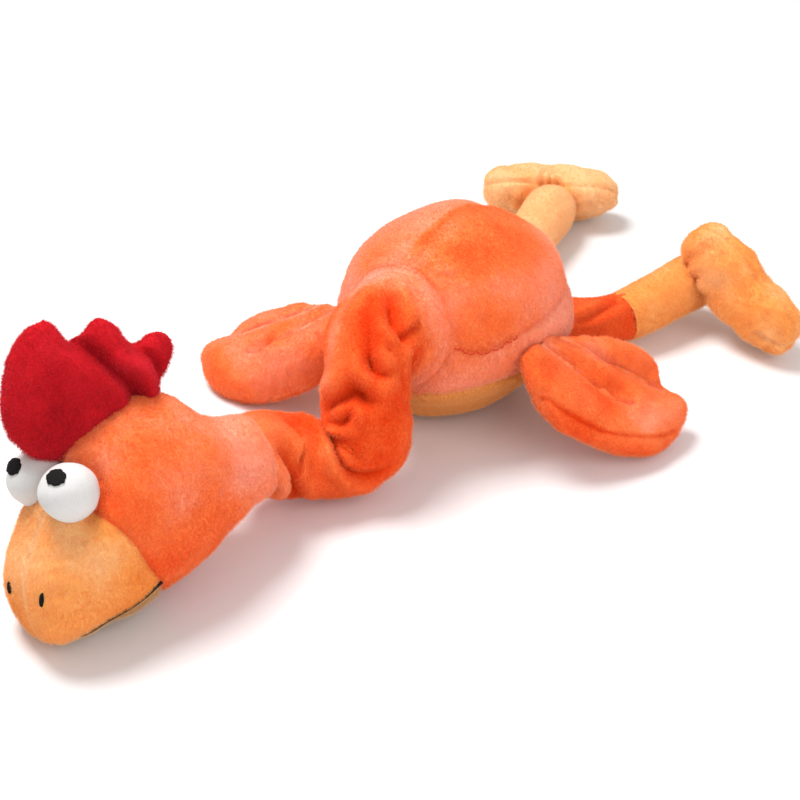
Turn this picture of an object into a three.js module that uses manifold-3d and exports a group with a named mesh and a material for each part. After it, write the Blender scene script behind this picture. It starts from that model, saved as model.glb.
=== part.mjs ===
// A floppy plush chicken lying on its belly: a stuffed ball of a body, a slack neck, a stuffed head
// with a comb and a beak, two quilted wings, and two limp legs that end in two-toed feet.
//
// Millimetres, +Z up. The chicken faces -Y, its left side is +X, and the origin is the middle of the
// flat patch that its belly rests on. Every bag of fabric is built as it is sewn: thin panels that
// meet at a seam, with a loose filling inside them. Limbs end in round ends, so each has room to flop.

import * as THREE from 'three';
import { mergeVertices } from 'three/addons/utils/BufferGeometryUtils.js';
import Module from 'manifold-3d';

const wasm = await Module();
wasm.setup();

// ---------- driving dimensions ----------

const WALL = 1.2;            // plush fabric with its pile pressed flat
const SEAM_GAP = 0.35;       // clearance between two panels at a seam
const FILL_GAP = 1.2;        // clearance between a panel and the filling
const LIMB_GAP = 3;          // slack fabric between the ends of two leg sections
const NECK_GAP = 7;          // the neck bends further, so its sections stand further apart

const BODY_RADIUS = 62;
const BODY_HEIGHT = 54;      // centre of the ball above the floor; the belly is pressed flat below it
const FLANK_TOP = 15;        // elevations of the seams round the ball, in degrees
const FLANK_BOTTOM = -12;
const YOKE_HALF_ANGLE = 33;  // the collar panel under the neck, in degrees of azimuth
const YOKE_TOP = 53;

const SQUEAKER_RADIUS = 16;
const SQUEAKER_HEIGHT = 16;

const NECK_RADIUS = 17;
const NECK_POINTS = [[3, -70, 77], [14, -93, 36], [1, -118, 19], [-11, -151, 38]];

const HEAD_CENTRE = [-24, -212, 49.6];
const HEAD_YAW = -15.1;      // degrees; the head looks to its right and leans onto its right cheek
const HEAD_ROLL = -18.7;
const HEAD_DOME = 35;        // half the head's width
const EYE_RADIUS = 13;
const EYE_PLACE = [13.6, -39, 22];
const PUPIL_RADIUS = 4.4;
const COMB_DOME = 11;

const WING_LENGTH = 98;
const WING_WIDTH = 68;
const WING_DOME = 8.5;

const THIGH_RADIUS = 12.5;
const SHANK_RADIUS = 13.5;
const LIMB_SIDES = 12;
const FOOT_LENGTH = 96;
const FOOT_WIDTH = 40;
const FOOT_DOME = 16;

// Each leg's joints and foot. The hip is on the ball's surface.
const LEGS = {
  left: {
    hip: [24.6, 53.2, 32.6], knee: [45, 98, 20], ankle: [61, 157, 25],
    heel: [57, 170, 50], toe: [123, 158, 17],
  },
  right: {
    hip: [-24.6, 53.2, 32.6], knee: [-41, 101, 20], ankle: [-62, 178, 20],
    heel: [-114, 174, 20], toe: [-34, 222, 20],
  },
};

// Each wing's root, tip and a point above its upper edge.
// The left one lies swept back, the right one forward.
const WINGS = {
  left: { root: [63, -22, 58], tip: [122, 40, 6], upper: [88, 46, 42] },
  right: { root: [-54, -37, 57], tip: [-121, -73, 7], upper: [-98, -25, 36] },
};

// ---------- colours ----------

const COLOUR = {
  orange: 0xfd6f38,
  deepOrange: 0xf8622c,
  gold: 0xf2a552,
  belly: 0xd99a48,
  red: 0xcf1b23,
  white: 0xe6e4dd,
  black: 0x1f1c1b,
  tan: 0xd9a878,
  wadding: 0xf4f2ec,
  plastic: 0xdfe3e6,
};

const vec = (point) => new THREE.Vector3(...point);
const radians = THREE.MathUtils.degToRad;

// ---------- closed meshes ----------

// A closed geometry from points and triangles: shared points are merged, empty triangles are dropped,
// and all faces are turned outwards.
function closedGeometry(points, triangles) {
  let geometry = new THREE.BufferGeometry();
  geometry.setAttribute('position', new THREE.Float32BufferAttribute(points.flatMap((p) => p.toArray()), 3));
  geometry.setIndex(triangles.flat());
  geometry = mergeVertices(geometry, 1e-3);
  const index = geometry.index.array;
  const position = geometry.attributes.position;
  const corner = (i) => new THREE.Vector3().fromBufferAttribute(position, i);
  const kept = [];
  let volume = 0;
  for (let i = 0; i < index.length; i += 3) {
    const [a, b, c] = [index[i], index[i + 1], index[i + 2]];
    if (a === b || b === c || c === a) continue;
    kept.push([a, b, c]);
    volume += corner(a).dot(corner(b).cross(corner(c)));
  }
  geometry.setIndex(kept.flatMap(([a, b, c]) => (volume > 0 ? [a, b, c] : [a, c, b])));
  return geometry;
}

// Adds the quads of a grid of rows and columns whose points start at `start`.
function gridQuads(triangles, start, columns, rows, flip) {
  for (let i = 0; i < columns; i += 1) {
    for (let j = 0; j < rows; j += 1) {
      const a = start + i * (rows + 1) + j;
      const [b, c, d] = [a + 1, a + rows + 2, a + rows + 1];
      triangles.push(flip ? [a, c, b] : [a, b, c], flip ? [a, d, c] : [a, c, d]);
    }
  }
}

// A thin panel: the space between an outer and an inner sheet, closed by walls round its border.
// Both sheets are functions of (u, v) from 0 to 1. A wrapped panel meets itself along u.
function panel(outer, inner, columns, rows, wrapped = false) {
  const points = [];
  for (const sheet of [outer, inner]) {
    for (let i = 0; i <= columns; i += 1) {
      for (let j = 0; j <= rows; j += 1) {
        points.push(sheet(wrapped && i === columns ? 0 : i / columns, j / rows));
      }
    }
  }
  const triangles = [];
  const half = (columns + 1) * (rows + 1);
  gridQuads(triangles, 0, columns, rows, false);
  gridQuads(triangles, half, columns, rows, true);
  const at = (i, j) => i * (rows + 1) + j;
  const wall = (a, b) => triangles.push([a, b + half, b], [a, a + half, b + half]);
  for (let i = 0; i < columns; i += 1) {
    wall(at(i + 1, 0), at(i, 0));
    wall(at(i, rows), at(i + 1, rows));
  }
  if (!wrapped) {
    for (let j = 0; j < rows; j += 1) {
      wall(at(0, j), at(0, j + 1));
      wall(at(columns, j + 1), at(columns, j));
    }
  }
  return closedGeometry(points, triangles);
}

// A solid from one closed sheet, wrapped along u and drawn to a point at v = 0 and v = 1.
function blob(sheet, columns, rows) {
  const points = [];
  for (let i = 0; i <= columns; i += 1) {
    for (let j = 0; j <= rows; j += 1) points.push(sheet(i === columns ? 0 : i / columns, j / rows));
  }
  const triangles = [];
  gridQuads(triangles, 0, columns, rows, false);
  return closedGeometry(points, triangles);
}

function toManifold(geometry) {
  const clean = geometry.clone();
  clean.deleteAttribute('normal');
  clean.deleteAttribute('uv');
  const merged = mergeVertices(clean, 1e-4);
  return new wasm.Manifold(new wasm.Mesh({
    numProp: 3,
    vertProperties: new Float32Array(merged.attributes.position.array),
    triVerts: new Uint32Array(merged.index.array),
  }));
}

// Cuts each of the other solids out of a geometry.
function carve(geometry, cutters) {
  let solid = toManifold(geometry);
  for (const cutter of cutters) solid = solid.subtract(toManifold(cutter));
  const mesh = solid.getMesh();
  const result = new THREE.BufferGeometry();
  result.setAttribute('position', new THREE.Float32BufferAttribute(mesh.vertProperties, 3));
  result.setIndex(Array.from(mesh.triVerts));
  return result;
}

function piece(name, geometry, colour, roughness = 0.95) {
  const material = new THREE.MeshStandardMaterial({ color: colour, roughness, metalness: 0 });
  const mesh = new THREE.Mesh(geometry, material);
  mesh.name = name;
  return mesh;
}

// ---------- the body ----------

// A point of the ball at an azimuth from the front towards the left, an elevation and a depth below
// the surface, all pressed flat at the floor.
function ballPoint(azimuth, elevation, depth) {
  const [a, e] = [radians(azimuth), radians(elevation)];
  const r = BODY_RADIUS - depth;
  const z = BODY_HEIGHT + r * Math.sin(e);
  return new THREE.Vector3(r * Math.cos(e) * Math.sin(a), -r * Math.cos(e) * Math.cos(a), Math.max(z, depth));
}

// The lower edge of the back panels and the upper edge of the flanks, yoke left out.
function yokeEdge(azimuth) {
  const t = Math.min(1, Math.abs(azimuth) / YOKE_HALF_ANGLE);
  return FLANK_TOP + (YOKE_TOP - FLANK_TOP) * Math.sqrt(1 - t * t);
}

const seamAngle = THREE.MathUtils.radToDeg(SEAM_GAP / BODY_RADIUS);

function ballPanel(from, to, bottom, top, columns, rows, wrapped = false) {
  const sheet = (depth) => (u, v) => {
    const azimuth = THREE.MathUtils.lerp(from, to, u);
    const low = bottom(azimuth);
    return ballPoint(azimuth, low + (top(azimuth) - low) * v, depth);
  };
  return panel(sheet(0), sheet(WALL), columns, rows, wrapped);
}

function backPanel(side) {
  const from = side * seamAngle;
  const to = side * (180 - seamAngle);
  return ballPanel(from, to, (azimuth) => yokeEdge(azimuth) + seamAngle, () => 90 - 2 * seamAngle, 14, 5);
}

function flankPanel(side) {
  const low = () => FLANK_BOTTOM + seamAngle;
  const high = () => FLANK_TOP - seamAngle;
  return ballPanel(side * seamAngle, side * (180 - seamAngle), low, high, 12, 3);
}

function neckYoke() {
  const reach = YOKE_HALF_ANGLE - 2;
  const low = () => FLANK_TOP + seamAngle;
  return ballPanel(-reach, reach, low, (azimuth) => yokeEdge(azimuth) - 6 * seamAngle, 10, 3);
}

function bellyPanel() {
  return ballPanel(0, 360, () => -90, () => FLANK_BOTTOM - seamAngle, 24, 6, true);
}

// The wadding is two wads, one above the other, with the squeaker in a pocket between them.
function bodyWad(side) {
  const depth = WALL + FILL_GAP;
  const middle = BODY_HEIGHT + side * SEAM_GAP;
  const sheet = (u, v) => {
    const elevation = side * THREE.MathUtils.lerp(90, 0, Math.min(1, v * 1.25));
    const point = ballPoint(side * 360 * u, elevation, depth);
    if (v > 0.8) point.lerp(new THREE.Vector3(0, 0, BODY_HEIGHT), (v - 0.8) / 0.2);
    point.z = side > 0 ? Math.max(point.z, middle) : Math.min(point.z, middle);
    return point;
  };
  const wad = blob(sheet, 20, 10);
  const pocketRadius = SQUEAKER_RADIUS + 1;
  const pocket = new THREE.CylinderGeometry(pocketRadius, pocketRadius, SQUEAKER_HEIGHT + 10, 20);
  pocket.rotateX(Math.PI / 2);
  pocket.translate(0, 0, BODY_HEIGHT);
  return carve(wad, [pocket]);
}

// A squeaker is a thin plastic bulb with a reed plug pressed into its open top.
function squeakerBulb() {
  const [r, h, wall] = [SQUEAKER_RADIUS, SQUEAKER_HEIGHT / 2, 0.8];
  const mouth = 4.4;
  const profile = [
    [0, -h], [r * 0.8, -h], [r, -h * 0.6], [r, h * 0.6], [r * 0.8, h], [mouth, h],
    [mouth, h - wall], [r * 0.8 - 0.3, h - wall], [r - wall, h * 0.55], [r - wall, -h * 0.55],
    [r * 0.8 - 0.3, wall - h], [0, wall - h],
  ];
  return new THREE.LatheGeometry(profile.map(([x, y]) => new THREE.Vector2(x, y)), 20);
}

function squeakerReed() {
  const profile = [[0, -5], [3.9, -5], [3.9, 0.5], [5.6, 0.5], [5.6, 2], [1, 2], [1, -2], [0, -2]];
  return new THREE.LatheGeometry(profile.map(([x, y]) => new THREE.Vector2(x, y)), 12);
}

// ---------- limb sections ----------

// The outline of a section along +Y from 0 to its length: two round ends and a straight middle.
// `mouth` is the angle at which each end stops short of its tip, in degrees.
function sectionProfile(length, radius, mouth = 0, steps = 2) {
  const points = [];
  for (let i = 0; i <= steps; i += 1) {
    const angle = radians(mouth + ((90 - mouth) * i) / steps);
    points.push(new THREE.Vector2(radius * Math.sin(angle), radius * (1 - Math.cos(angle))));
  }
  const mirrored = points.map((p) => new THREE.Vector2(p.x, length - p.y)).reverse();
  return [...points, ...mirrored];
}

// A tube of fabric, open at both round ends, where the next section's fabric carries on.
function sleeve(length, radius) {
  const outer = sectionProfile(length, radius, 30);
  const middle = length / 2;
  const inner = outer.map(({ x, y }) => (
    new THREE.Vector2(x * (1 - WALL / radius), middle + (y - middle) * (1 - WALL / middle))
  ));
  return new THREE.LatheGeometry([...outer, ...inner.reverse(), outer[0].clone()], LIMB_SIDES);
}

function limbWadding(length, radius) {
  const inset = WALL + FILL_GAP;
  const geometry = new THREE.LatheGeometry(sectionProfile(length - 2 * inset, radius - inset), LIMB_SIDES);
  geometry.translate(0, inset, 0);
  return geometry;
}

// A group at a limb section's start, with +Y running to its end. A short section is a slimmer one.
function limbSection(name, start, end, widest, gap, colour) {
  const group = new THREE.Group();
  const along = vec(end).sub(vec(start));
  const length = along.length() - gap;
  const radius = Math.min(widest, length / 2 - 0.1);
  along.normalize();
  group.position.copy(vec(start).addScaledVector(along, gap / 2));
  group.quaternion.setFromUnitVectors(new THREE.Vector3(0, 1, 0), along);
  group.add(piece(`${name}_skin`, sleeve(length, radius), colour));
  group.add(piece(`${name}_wadding`, limbWadding(length, radius), COLOUR.wadding));
  return group;
}

// ---------- pads: two domed panels sewn round an outline ----------

// A pad lies in the XY plane. Its outline is a smooth closed curve, and each side swells by `dome`.
function padShape(outlinePoints, dome, samples) {
  const curve = new THREE.CatmullRomCurve3(outlinePoints.map(([x, y]) => new THREE.Vector3(x, y, 0)), true);
  const rim = curve.getSpacedPoints(samples);
  rim.pop();
  const centre = rim.reduce((sum, p) => sum.add(p), new THREE.Vector3()).divideScalar(rim.length);
  const meanRadius = rim.reduce((sum, p) => sum + p.distanceTo(centre), 0) / rim.length;
  return { rim, centre, meanRadius, dome };
}

// A point of the pad: `u` goes round the rim, `r` out from the centre, and `inset` is the depth
// below the outer surface.
function padPoint(pad, side, u, r, inset) {
  const count = pad.rim.length;
  const place = ((u * count) % count + count) % count;
  const low = Math.floor(place + 1e-9) % count;
  const edge = pad.rim[low].clone().lerp(pad.rim[(low + 1) % count], Math.max(0, place - low));
  const scale = 1 - inset / pad.meanRadius;
  const point = pad.centre.clone().lerp(edge, r * scale);
  point.z = side * (SEAM_GAP / 2 + Math.max(0, pad.dome - inset) * Math.sqrt(Math.max(0, 1 - r * r)));
  return point;
}

// Rows are spaced so that the dome's steep rim is as smooth as its crown.
const rowRadius = (v) => Math.sin((v * Math.PI) / 2);

function padPanel(pad, side, rows = 4) {
  const sheet = (inset) => (u, v) => padPoint(pad, side, u, rowRadius(v), inset);
  return panel(sheet(0), sheet(WALL), pad.rim.length, rows, true);
}

function padWadding(pad, rows = 3, extra = 0) {
  const inset = WALL + FILL_GAP + extra;
  const sheet = (u, v) => {
    const side = v < 0.5 ? 1 : -1;
    const point = padPoint(pad, side, u, rowRadius(1 - Math.abs(2 * v - 1)), inset);
    if (Math.abs(v - 0.5) < 1e-6) point.z = 0;
    return point;
  };
  return blob(sheet, pad.rim.length, rows * 2);
}

// ---------- the head ----------

// The head's outline seen from its left: x runs back and y runs up. It starts under the mouth's
// corner and goes round by the nape, the crest, the brow, the beak's ridge and its tip.
const HEAD_OUTLINE = [
  [4, -43.5], [26, -41], [44, -34], [56, -22], [58, 0], [48, 17], [34, 34], [18, 45], [0, 45], [-18, 39],
  [-27, 30], [-31, 16], [-42, 8], [-53, -2], [-61, -16], [-65, -29], [-60, -38], [-42, -42], [-18, -43],
];
const BEAK_START = 12;       // outline points between which the beak takes the head's place
const BEAK_DEPTH = 0.42;     // how near the beak's seam comes to the middle of the cheek

const headPad = padShape(HEAD_OUTLINE, HEAD_DOME, 32);
const beakStep = Math.round((BEAK_START / HEAD_OUTLINE.length) * headPad.rim.length);
const inBeak = (u) => u * headPad.rim.length > beakStep - 0.5;

// The cheek panel covers the whole side but the beak.
function headPanel(side) {
  const sheet = (inset) => (u, v) => {
    const reach = inBeak(u) ? BEAK_DEPTH : 1;
    return padPoint(headPad, side, u, rowRadius(v) * reach, inset);
  };
  return panel(sheet(0), sheet(WALL), headPad.rim.length, 4, true);
}

function beakPanel(side) {
  const count = headPad.rim.length;
  const first = (beakStep + 0.15) / count;
  const last = 1 - 0.9 / count;
  const innerEdge = BEAK_DEPTH + 0.03;
  const sheet = (inset) => (u, v) => {
    const around = THREE.MathUtils.lerp(first, last, u);
    const outward = THREE.MathUtils.lerp(innerEdge, 1, Math.sin((v * Math.PI) / 2));
    return padPoint(headPad, side, around, outward, inset);
  };
  return panel(sheet(0), sheet(WALL), 12, 3);
}

// The comb's outline, in the head's own side view: three fat lobes that grow from the crest.
const COMB_OUTLINE = [
  [26, 48], [36, 57], [34, 68], [24, 70], [16, 72], [12, 86], [2, 88], [-6, 76], [-12, 82], [-22, 92],
  [-36, 88], [-46, 72], [-46, 50], [-36, 39], [-24, 42], [-8, 46.5], [8, 47.5],
];

const LOWER_BEAK_OUTLINE = [
  [0, -54], [9, -44], [13, -22], [12, -4], [0, 2], [-12, -4], [-13, -22], [-9, -44],
];

// A pad drawn in side view stands upright along the head's middle plane.
function standUpright(geometry) {
  const toSide = new THREE.Matrix4().makeBasis(
    new THREE.Vector3(0, 1, 0), new THREE.Vector3(0, 0, 1), new THREE.Vector3(1, 0, 0),
  );
  return geometry.applyMatrix4(toSide);
}

function ball(radius, [x, y, z], segments = 16) {
  const geometry = new THREE.SphereGeometry(radius, segments, segments / 2);
  geometry.translate(x, y, z);
  return geometry;
}

// The mouth is a cord of black thread along the lip, from one corner round the tip to the other.
function mouthThread() {
  const z = -44;
  const corners = [[13, 2], [15, -20], [10, -46], [0, -58], [-10, -46], [-15, -20], [-13, 2]];
  const path = new THREE.CatmullRomCurve3(corners.map(([x, y]) => new THREE.Vector3(x, y, z)));
  const section = new THREE.Shape();
  section.absarc(0, 0, 0.9, 0, Math.PI * 2);
  const options = { steps: 16, curveSegments: 4, extrudePath: path, bevelEnabled: false };
  return new THREE.ExtrudeGeometry(section, options);
}

// A pupil is a button of black thread that stands on the eye and looks towards `aim`.
function pupil(eye, aim) {
  const along = vec(aim).normalize();
  const geometry = new THREE.CylinderGeometry(PUPIL_RADIUS, PUPIL_RADIUS, 1.2, 14);
  geometry.applyQuaternion(new THREE.Quaternion().setFromUnitVectors(new THREE.Vector3(0, 1, 0), along));
  const place = vec(eye).addScaledVector(along, EYE_RADIUS + 0.9);
  geometry.translate(place.x, place.y, place.z);
  return geometry;
}

function buildHead() {
  const head = new THREE.Group();
  head.position.set(...HEAD_CENTRE);
  head.rotation.set(0, radians(HEAD_ROLL), radians(HEAD_YAW), 'ZYX');
  const sides = { left: 1, right: -1 };
  const sockets = Object.values(sides).map((side) => {
    const [x, y, z] = EYE_PLACE;
    return ball(EYE_RADIUS + 0.7, [side * x, y, z]);
  });
  for (const [name, side] of Object.entries(sides)) {
    const [x, y, z] = EYE_PLACE;
    const eye = [side * x, y, z];
    head.add(piece(`head_panel_${name}`, carve(standUpright(headPanel(side)), sockets), COLOUR.orange));
    head.add(piece(`upper_beak_${name}`, carve(standUpright(beakPanel(side)), sockets), COLOUR.gold));
    head.add(piece(`eye_${name}`, ball(EYE_RADIUS, eye), COLOUR.white));
    head.add(piece(`pupil_${name}`, pupil(eye, [side * 0.12, -0.9, 0.45]), COLOUR.black, 0.7));
    const nostril = ball(1.5, [side * 9.5, -66, -22], 8);
    head.add(piece(`nostril_${name}`, nostril, COLOUR.black, 0.7));
  }
  head.add(piece('head_wadding', carve(standUpright(padWadding(headPad, 3, 6.5)), sockets), COLOUR.wadding));
  const lowerPad = padShape(LOWER_BEAK_OUTLINE, 1.2, 16);
  const lowerBeak = padWadding({ ...lowerPad, dome: 1.2 + WALL + FILL_GAP }, 2);
  lowerBeak.translate(0, 0, -46.6);
  head.add(piece('lower_beak', lowerBeak, COLOUR.tan));
  head.add(piece('mouth_thread', mouthThread(), COLOUR.black, 0.7));
  return head;
}

function buildComb() {
  const comb = new THREE.Group();
  comb.position.set(...HEAD_CENTRE);
  comb.rotation.set(0, radians(HEAD_ROLL), radians(HEAD_YAW), 'ZYX');
  const pad = padShape(COMB_OUTLINE, COMB_DOME, 30);
  comb.add(piece('comb_panel_left', standUpright(padPanel(pad, 1, 3)), COLOUR.red));
  comb.add(piece('comb_panel_right', standUpright(padPanel(pad, -1, 3)), COLOUR.red));
  comb.add(piece('comb_wadding', standUpright(padWadding(pad, 2)), COLOUR.wadding));
  return comb;
}

// ---------- wings and feet ----------

// A frame at `origin` whose +X runs along `along` and whose +Y leans towards `upper`.
function frameAt(origin, along, upper) {
  const x = along.clone().normalize();
  const z = new THREE.Vector3().crossVectors(x, upper).normalize();
  const y = new THREE.Vector3().crossVectors(z, x);
  const group = new THREE.Group();
  group.position.copy(origin);
  group.quaternion.setFromRotationMatrix(new THREE.Matrix4().makeBasis(x, y, z));
  return group;
}

// A wing is a leaf with three rounded feathers at its outer edge, pinched narrow at its root.
const WING_OUTLINE = [
  [0.02, 0.12], [0.2, 0.36], [0.45, 0.5], [0.68, 0.48], [0.78, 0.34], [0.92, 0.28], [1, 0.08], [0.93, -0.12],
  [0.9, -0.26], [0.74, -0.46], [0.5, -0.5], [0.24, -0.4], [0.05, -0.2], [0, -0.02],
];

function buildWing(side) {
  const { root, tip, upper } = WINGS[side];
  const group = frameAt(vec(root), vec(tip).sub(vec(root)), vec(upper).sub(vec(root)));
  const pad = padShape(WING_OUTLINE.map(([x, y]) => [x * WING_LENGTH, y * WING_WIDTH]), WING_DOME, 28);
  group.add(piece(`wing_${side}_panel_front`, padPanel(pad, 1, 3), COLOUR.orange));
  group.add(piece(`wing_${side}_panel_back`, padPanel(pad, -1, 3), COLOUR.orange));
  group.add(piece(`wing_${side}_wadding`, padWadding(pad, 2), COLOUR.wadding));
  return group;
}

// A foot is a long sack with a round heel and two toes.
const FOOT_OUTLINE = [
  [0, 0], [0.06, 0.34], [0.24, 0.48], [0.5, 0.44], [0.76, 0.5], [0.95, 0.4], [1, 0.2], [0.96, 0],
  [1, -0.2], [0.95, -0.4], [0.76, -0.5], [0.5, -0.44], [0.24, -0.48], [0.06, -0.34],
];

function buildFoot(side) {
  const { knee, ankle, heel, toe } = LEGS[side];
  const along = vec(toe).sub(vec(heel));
  const leg = vec(ankle).sub(vec(knee)).normalize();
  const across = new THREE.Vector3().crossVectors(leg, along);
  const margin = (FOOT_LENGTH - along.length()) / 2;
  const origin = vec(heel).addScaledVector(along.clone().normalize(), -margin);
  const group = frameAt(origin, along, across);
  const pad = padShape(FOOT_OUTLINE.map(([x, y]) => [x * FOOT_LENGTH, y * FOOT_WIDTH]), FOOT_DOME, 28);
  group.add(piece(`foot_${side}_sole`, padPanel(pad, -1, 3), COLOUR.gold));
  group.add(piece(`foot_${side}_upper`, padPanel(pad, 1, 3), COLOUR.gold));
  group.add(piece(`foot_${side}_wadding`, padWadding(pad, 2), COLOUR.wadding));
  return group;
}

// ---------- the whole chicken ----------

const chicken = new THREE.Group();

chicken.add(piece('back_panel_left', backPanel(1), COLOUR.orange));
chicken.add(piece('back_panel_right', backPanel(-1), COLOUR.orange));
chicken.add(piece('flank_panel_left', flankPanel(1), COLOUR.orange));
chicken.add(piece('flank_panel_right', flankPanel(-1), COLOUR.orange));
chicken.add(piece('neck_yoke', neckYoke(), COLOUR.orange));
chicken.add(piece('belly_panel', bellyPanel(), COLOUR.belly));
chicken.add(piece('body_wadding_upper', bodyWad(1), COLOUR.wadding));
chicken.add(piece('body_wadding_lower', bodyWad(-1), COLOUR.wadding));

const squeaker = new THREE.Group();
squeaker.position.set(0, 0, BODY_HEIGHT);
squeaker.rotation.x = Math.PI / 2;
squeaker.add(piece('squeaker_bulb', squeakerBulb(), COLOUR.plastic, 0.4));
const reed = piece('squeaker_reed', squeakerReed(), COLOUR.plastic, 0.4);
reed.position.y = SQUEAKER_HEIGHT / 2;
squeaker.add(reed);
chicken.add(squeaker);

['neck_upper', 'neck_middle', 'neck_lower'].forEach((name, i) => {
  const [from, to] = NECK_POINTS.slice(i, i + 2);
  chicken.add(limbSection(name, from, to, NECK_RADIUS, NECK_GAP, COLOUR.deepOrange));
});

chicken.add(buildHead());
chicken.add(buildComb());

for (const side of ['left', 'right']) {
  const { hip, knee, ankle } = LEGS[side];
  chicken.add(buildWing(side));
  chicken.add(limbSection(`thigh_${side}`, hip, knee, THIGH_RADIUS, LIMB_GAP, COLOUR.deepOrange));
  chicken.add(limbSection(`shank_${side}`, knee, ankle, SHANK_RADIUS, LIMB_GAP, COLOUR.gold));
  chicken.add(buildFoot(side));
}

export default chicken;
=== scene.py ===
import math

import bpy
import numpy as np
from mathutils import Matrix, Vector


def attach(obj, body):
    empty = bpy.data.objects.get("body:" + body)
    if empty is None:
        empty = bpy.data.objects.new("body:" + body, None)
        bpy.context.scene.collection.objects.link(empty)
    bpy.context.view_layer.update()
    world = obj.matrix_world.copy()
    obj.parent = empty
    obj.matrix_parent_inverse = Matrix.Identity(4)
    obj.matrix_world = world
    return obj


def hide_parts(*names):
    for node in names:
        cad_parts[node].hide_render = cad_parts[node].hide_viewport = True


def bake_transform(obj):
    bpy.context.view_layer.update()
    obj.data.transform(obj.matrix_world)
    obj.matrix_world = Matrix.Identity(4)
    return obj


# A floppy plush chicken that lies on its belly: stuffed ball body, slack neck, head with comb, eyes and beak,
# quilted wings and limp legs. Lengths here are millimetres in the row frame until a mesh is made from them.

MM = 0.001
SEED = 7
PILE_LENGTH = 1.5
PILE_DENSITY = 3.0          # fibres per square millimetre
PILE_DEPTH = 0.8            # how far the fibres stand off the cloth
CLOTH_THICKNESS = 1.3
THREAD_SIDES = 8
SEAM_HOLD = 2.5             # cloth nearer than this to a seam isn't blown out by the stuffing
PRESSURE = 4.0
SIM_FRAMES = 20

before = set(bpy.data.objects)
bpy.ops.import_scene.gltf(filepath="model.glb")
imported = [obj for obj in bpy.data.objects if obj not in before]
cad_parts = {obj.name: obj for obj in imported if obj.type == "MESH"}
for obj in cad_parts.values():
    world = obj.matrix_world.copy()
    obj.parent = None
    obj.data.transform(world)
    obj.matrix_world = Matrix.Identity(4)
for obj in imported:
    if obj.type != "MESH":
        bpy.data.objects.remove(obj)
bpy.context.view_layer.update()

# ---------- where things are ----------

BODY_CENTRE = np.array([0.0, 0.0, 54.0])
BODY_RADIUS = 62.0
BELLY_EDGE = math.radians(-12)
YOKE_TILT = math.radians(17)
YOKE_ANGLE = math.radians(31)
YOKE_AXIS = np.array([0.0, -math.cos(YOKE_TILT), math.sin(YOKE_TILT)])
BACK_SEAM_X = -5.0

HEAD_CENTRE = np.array([-24.0, -212.0, 49.6])
HEAD_YAW = math.radians(-15.1)
HEAD_ROLL = math.radians(-18.7)
NECK_SEAM_Y = 63.0          # head frame: where the neck is sewn on behind the head

# Neck: x, y, z of its middle line and its radius, from the yoke to the head.
NECK_PATH = [
    [0, -46.7, 68.2, 37], [0, -50.6, 69.4, 32.4], [0, -54.5, 70.6, 29], [0, -62.5, 72.3, 25.8],
    [1.5, -71.5, 72, 23.4], [6, -82, 64, 21.3], [11, -90, 50, 21], [15.5, -94, 37, 20.5], [14, -98, 28, 18.3],
    [5, -108, 24, 18.3], [-5, -120, 25, 19.2], [-12, -133, 30.5, 20], [-12, -145, 39, 19.8],
    [-10, -152, 44, 19.5],
]

# pale makes all of a piece's pile paler: painted light on the right wing.
WINGS = {
    "left": {"root": [63, -22, 58], "tip": [122, 40, 6], "upper": [88, 46, 42],
             "droop": 0.0, "reach": 1.0, "pale": 0.0},
    "right": {"root": [-46, -43, 46], "tip": [-112, -72.5, 10], "upper": [-93, -34, 43.5],
              "droop": 0.01, "reach": 0.92, "pale": 0.2},
}
# pale makes all of a piece's pile paler: painted light on the right leg.
LEGS = {
    "left": {"hip": [24.6, 53.2, 32.6], "knee": [45, 98, 20], "ankle": [61, 157, 25],
             "heel": [63, 152, 50], "toe": [128, 140, 17],
             "bow": [0, 0, 0], "tuck": -3, "roll": 0.0, "pale": 0.0},
    "right": {"hip": [-24.6, 53.2, 32.6], "knee": [-41, 101, 20], "ankle": [-62, 178, 20],
              "heel": [-109.5, 176, 21.5], "toe": [-29.5, 224.5, 21.5],
              "bow": [4, 0, 0], "tuck": 7, "roll": 0.85, "pale": 0.42},
}
FOOT_LENGTH = 90.0


# ---------- small geometry tools ----------

def unit(v):
    v = np.asarray(v, float)
    return v / np.linalg.norm(v, axis=-1, keepdims=True)


def smooth(x):
    x = np.clip(x, 0, 1)
    return x * x * (3 - 2 * x)


def curve(points, count, closed=False):
    """count points on a smooth line through the given ones, at even steps of their numbering."""
    p = np.asarray(points, float)
    n = len(p)
    t = np.linspace(0, n if closed else n - 1, count, endpoint=not closed)
    i = np.floor(t).astype(int)
    if not closed:
        i = np.minimum(i, n - 2)
    f = (t - i)[:, None]
    if closed:
        a, b, c, d = (p[(i + k) % n] for k in (-1, 0, 1, 2))
    else:
        a, b, c, d = (p[np.clip(i + k, 0, n - 1)] for k in (-1, 0, 1, 2))
    return b + 0.5 * f * (c - a + f * (2 * a - 5 * b + 4 * c - d + f * (3 * (b - c) + d - a)))


def near(points, line):
    """For each point: its distance to a line of points, how far along the line, and which side (2-D only)."""
    a, b = line[:-1], line[1:]
    step = b - a
    length = np.linalg.norm(step, axis=1)
    best = np.full(len(points), 1e9)
    along = np.zeros(len(points))
    side = np.zeros(len(points))
    start = 0.0
    for k in range(len(a)):
        rel = points - a[k]
        t = np.clip(rel @ step[k] / max(length[k] ** 2, 1e-9), 0, 1)
        d = np.linalg.norm(rel - t[:, None] * step[k], axis=1)
        closer = d < best
        best[closer] = d[closer]
        along[closer] = start + t[closer] * length[k]
        if points.shape[1] == 2:
            turn = step[k][0] * rel[:, 1] - step[k][1] * rel[:, 0]
            side[closer] = np.sign(turn[closer])
        start += length[k]
    return best, along, side


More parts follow.
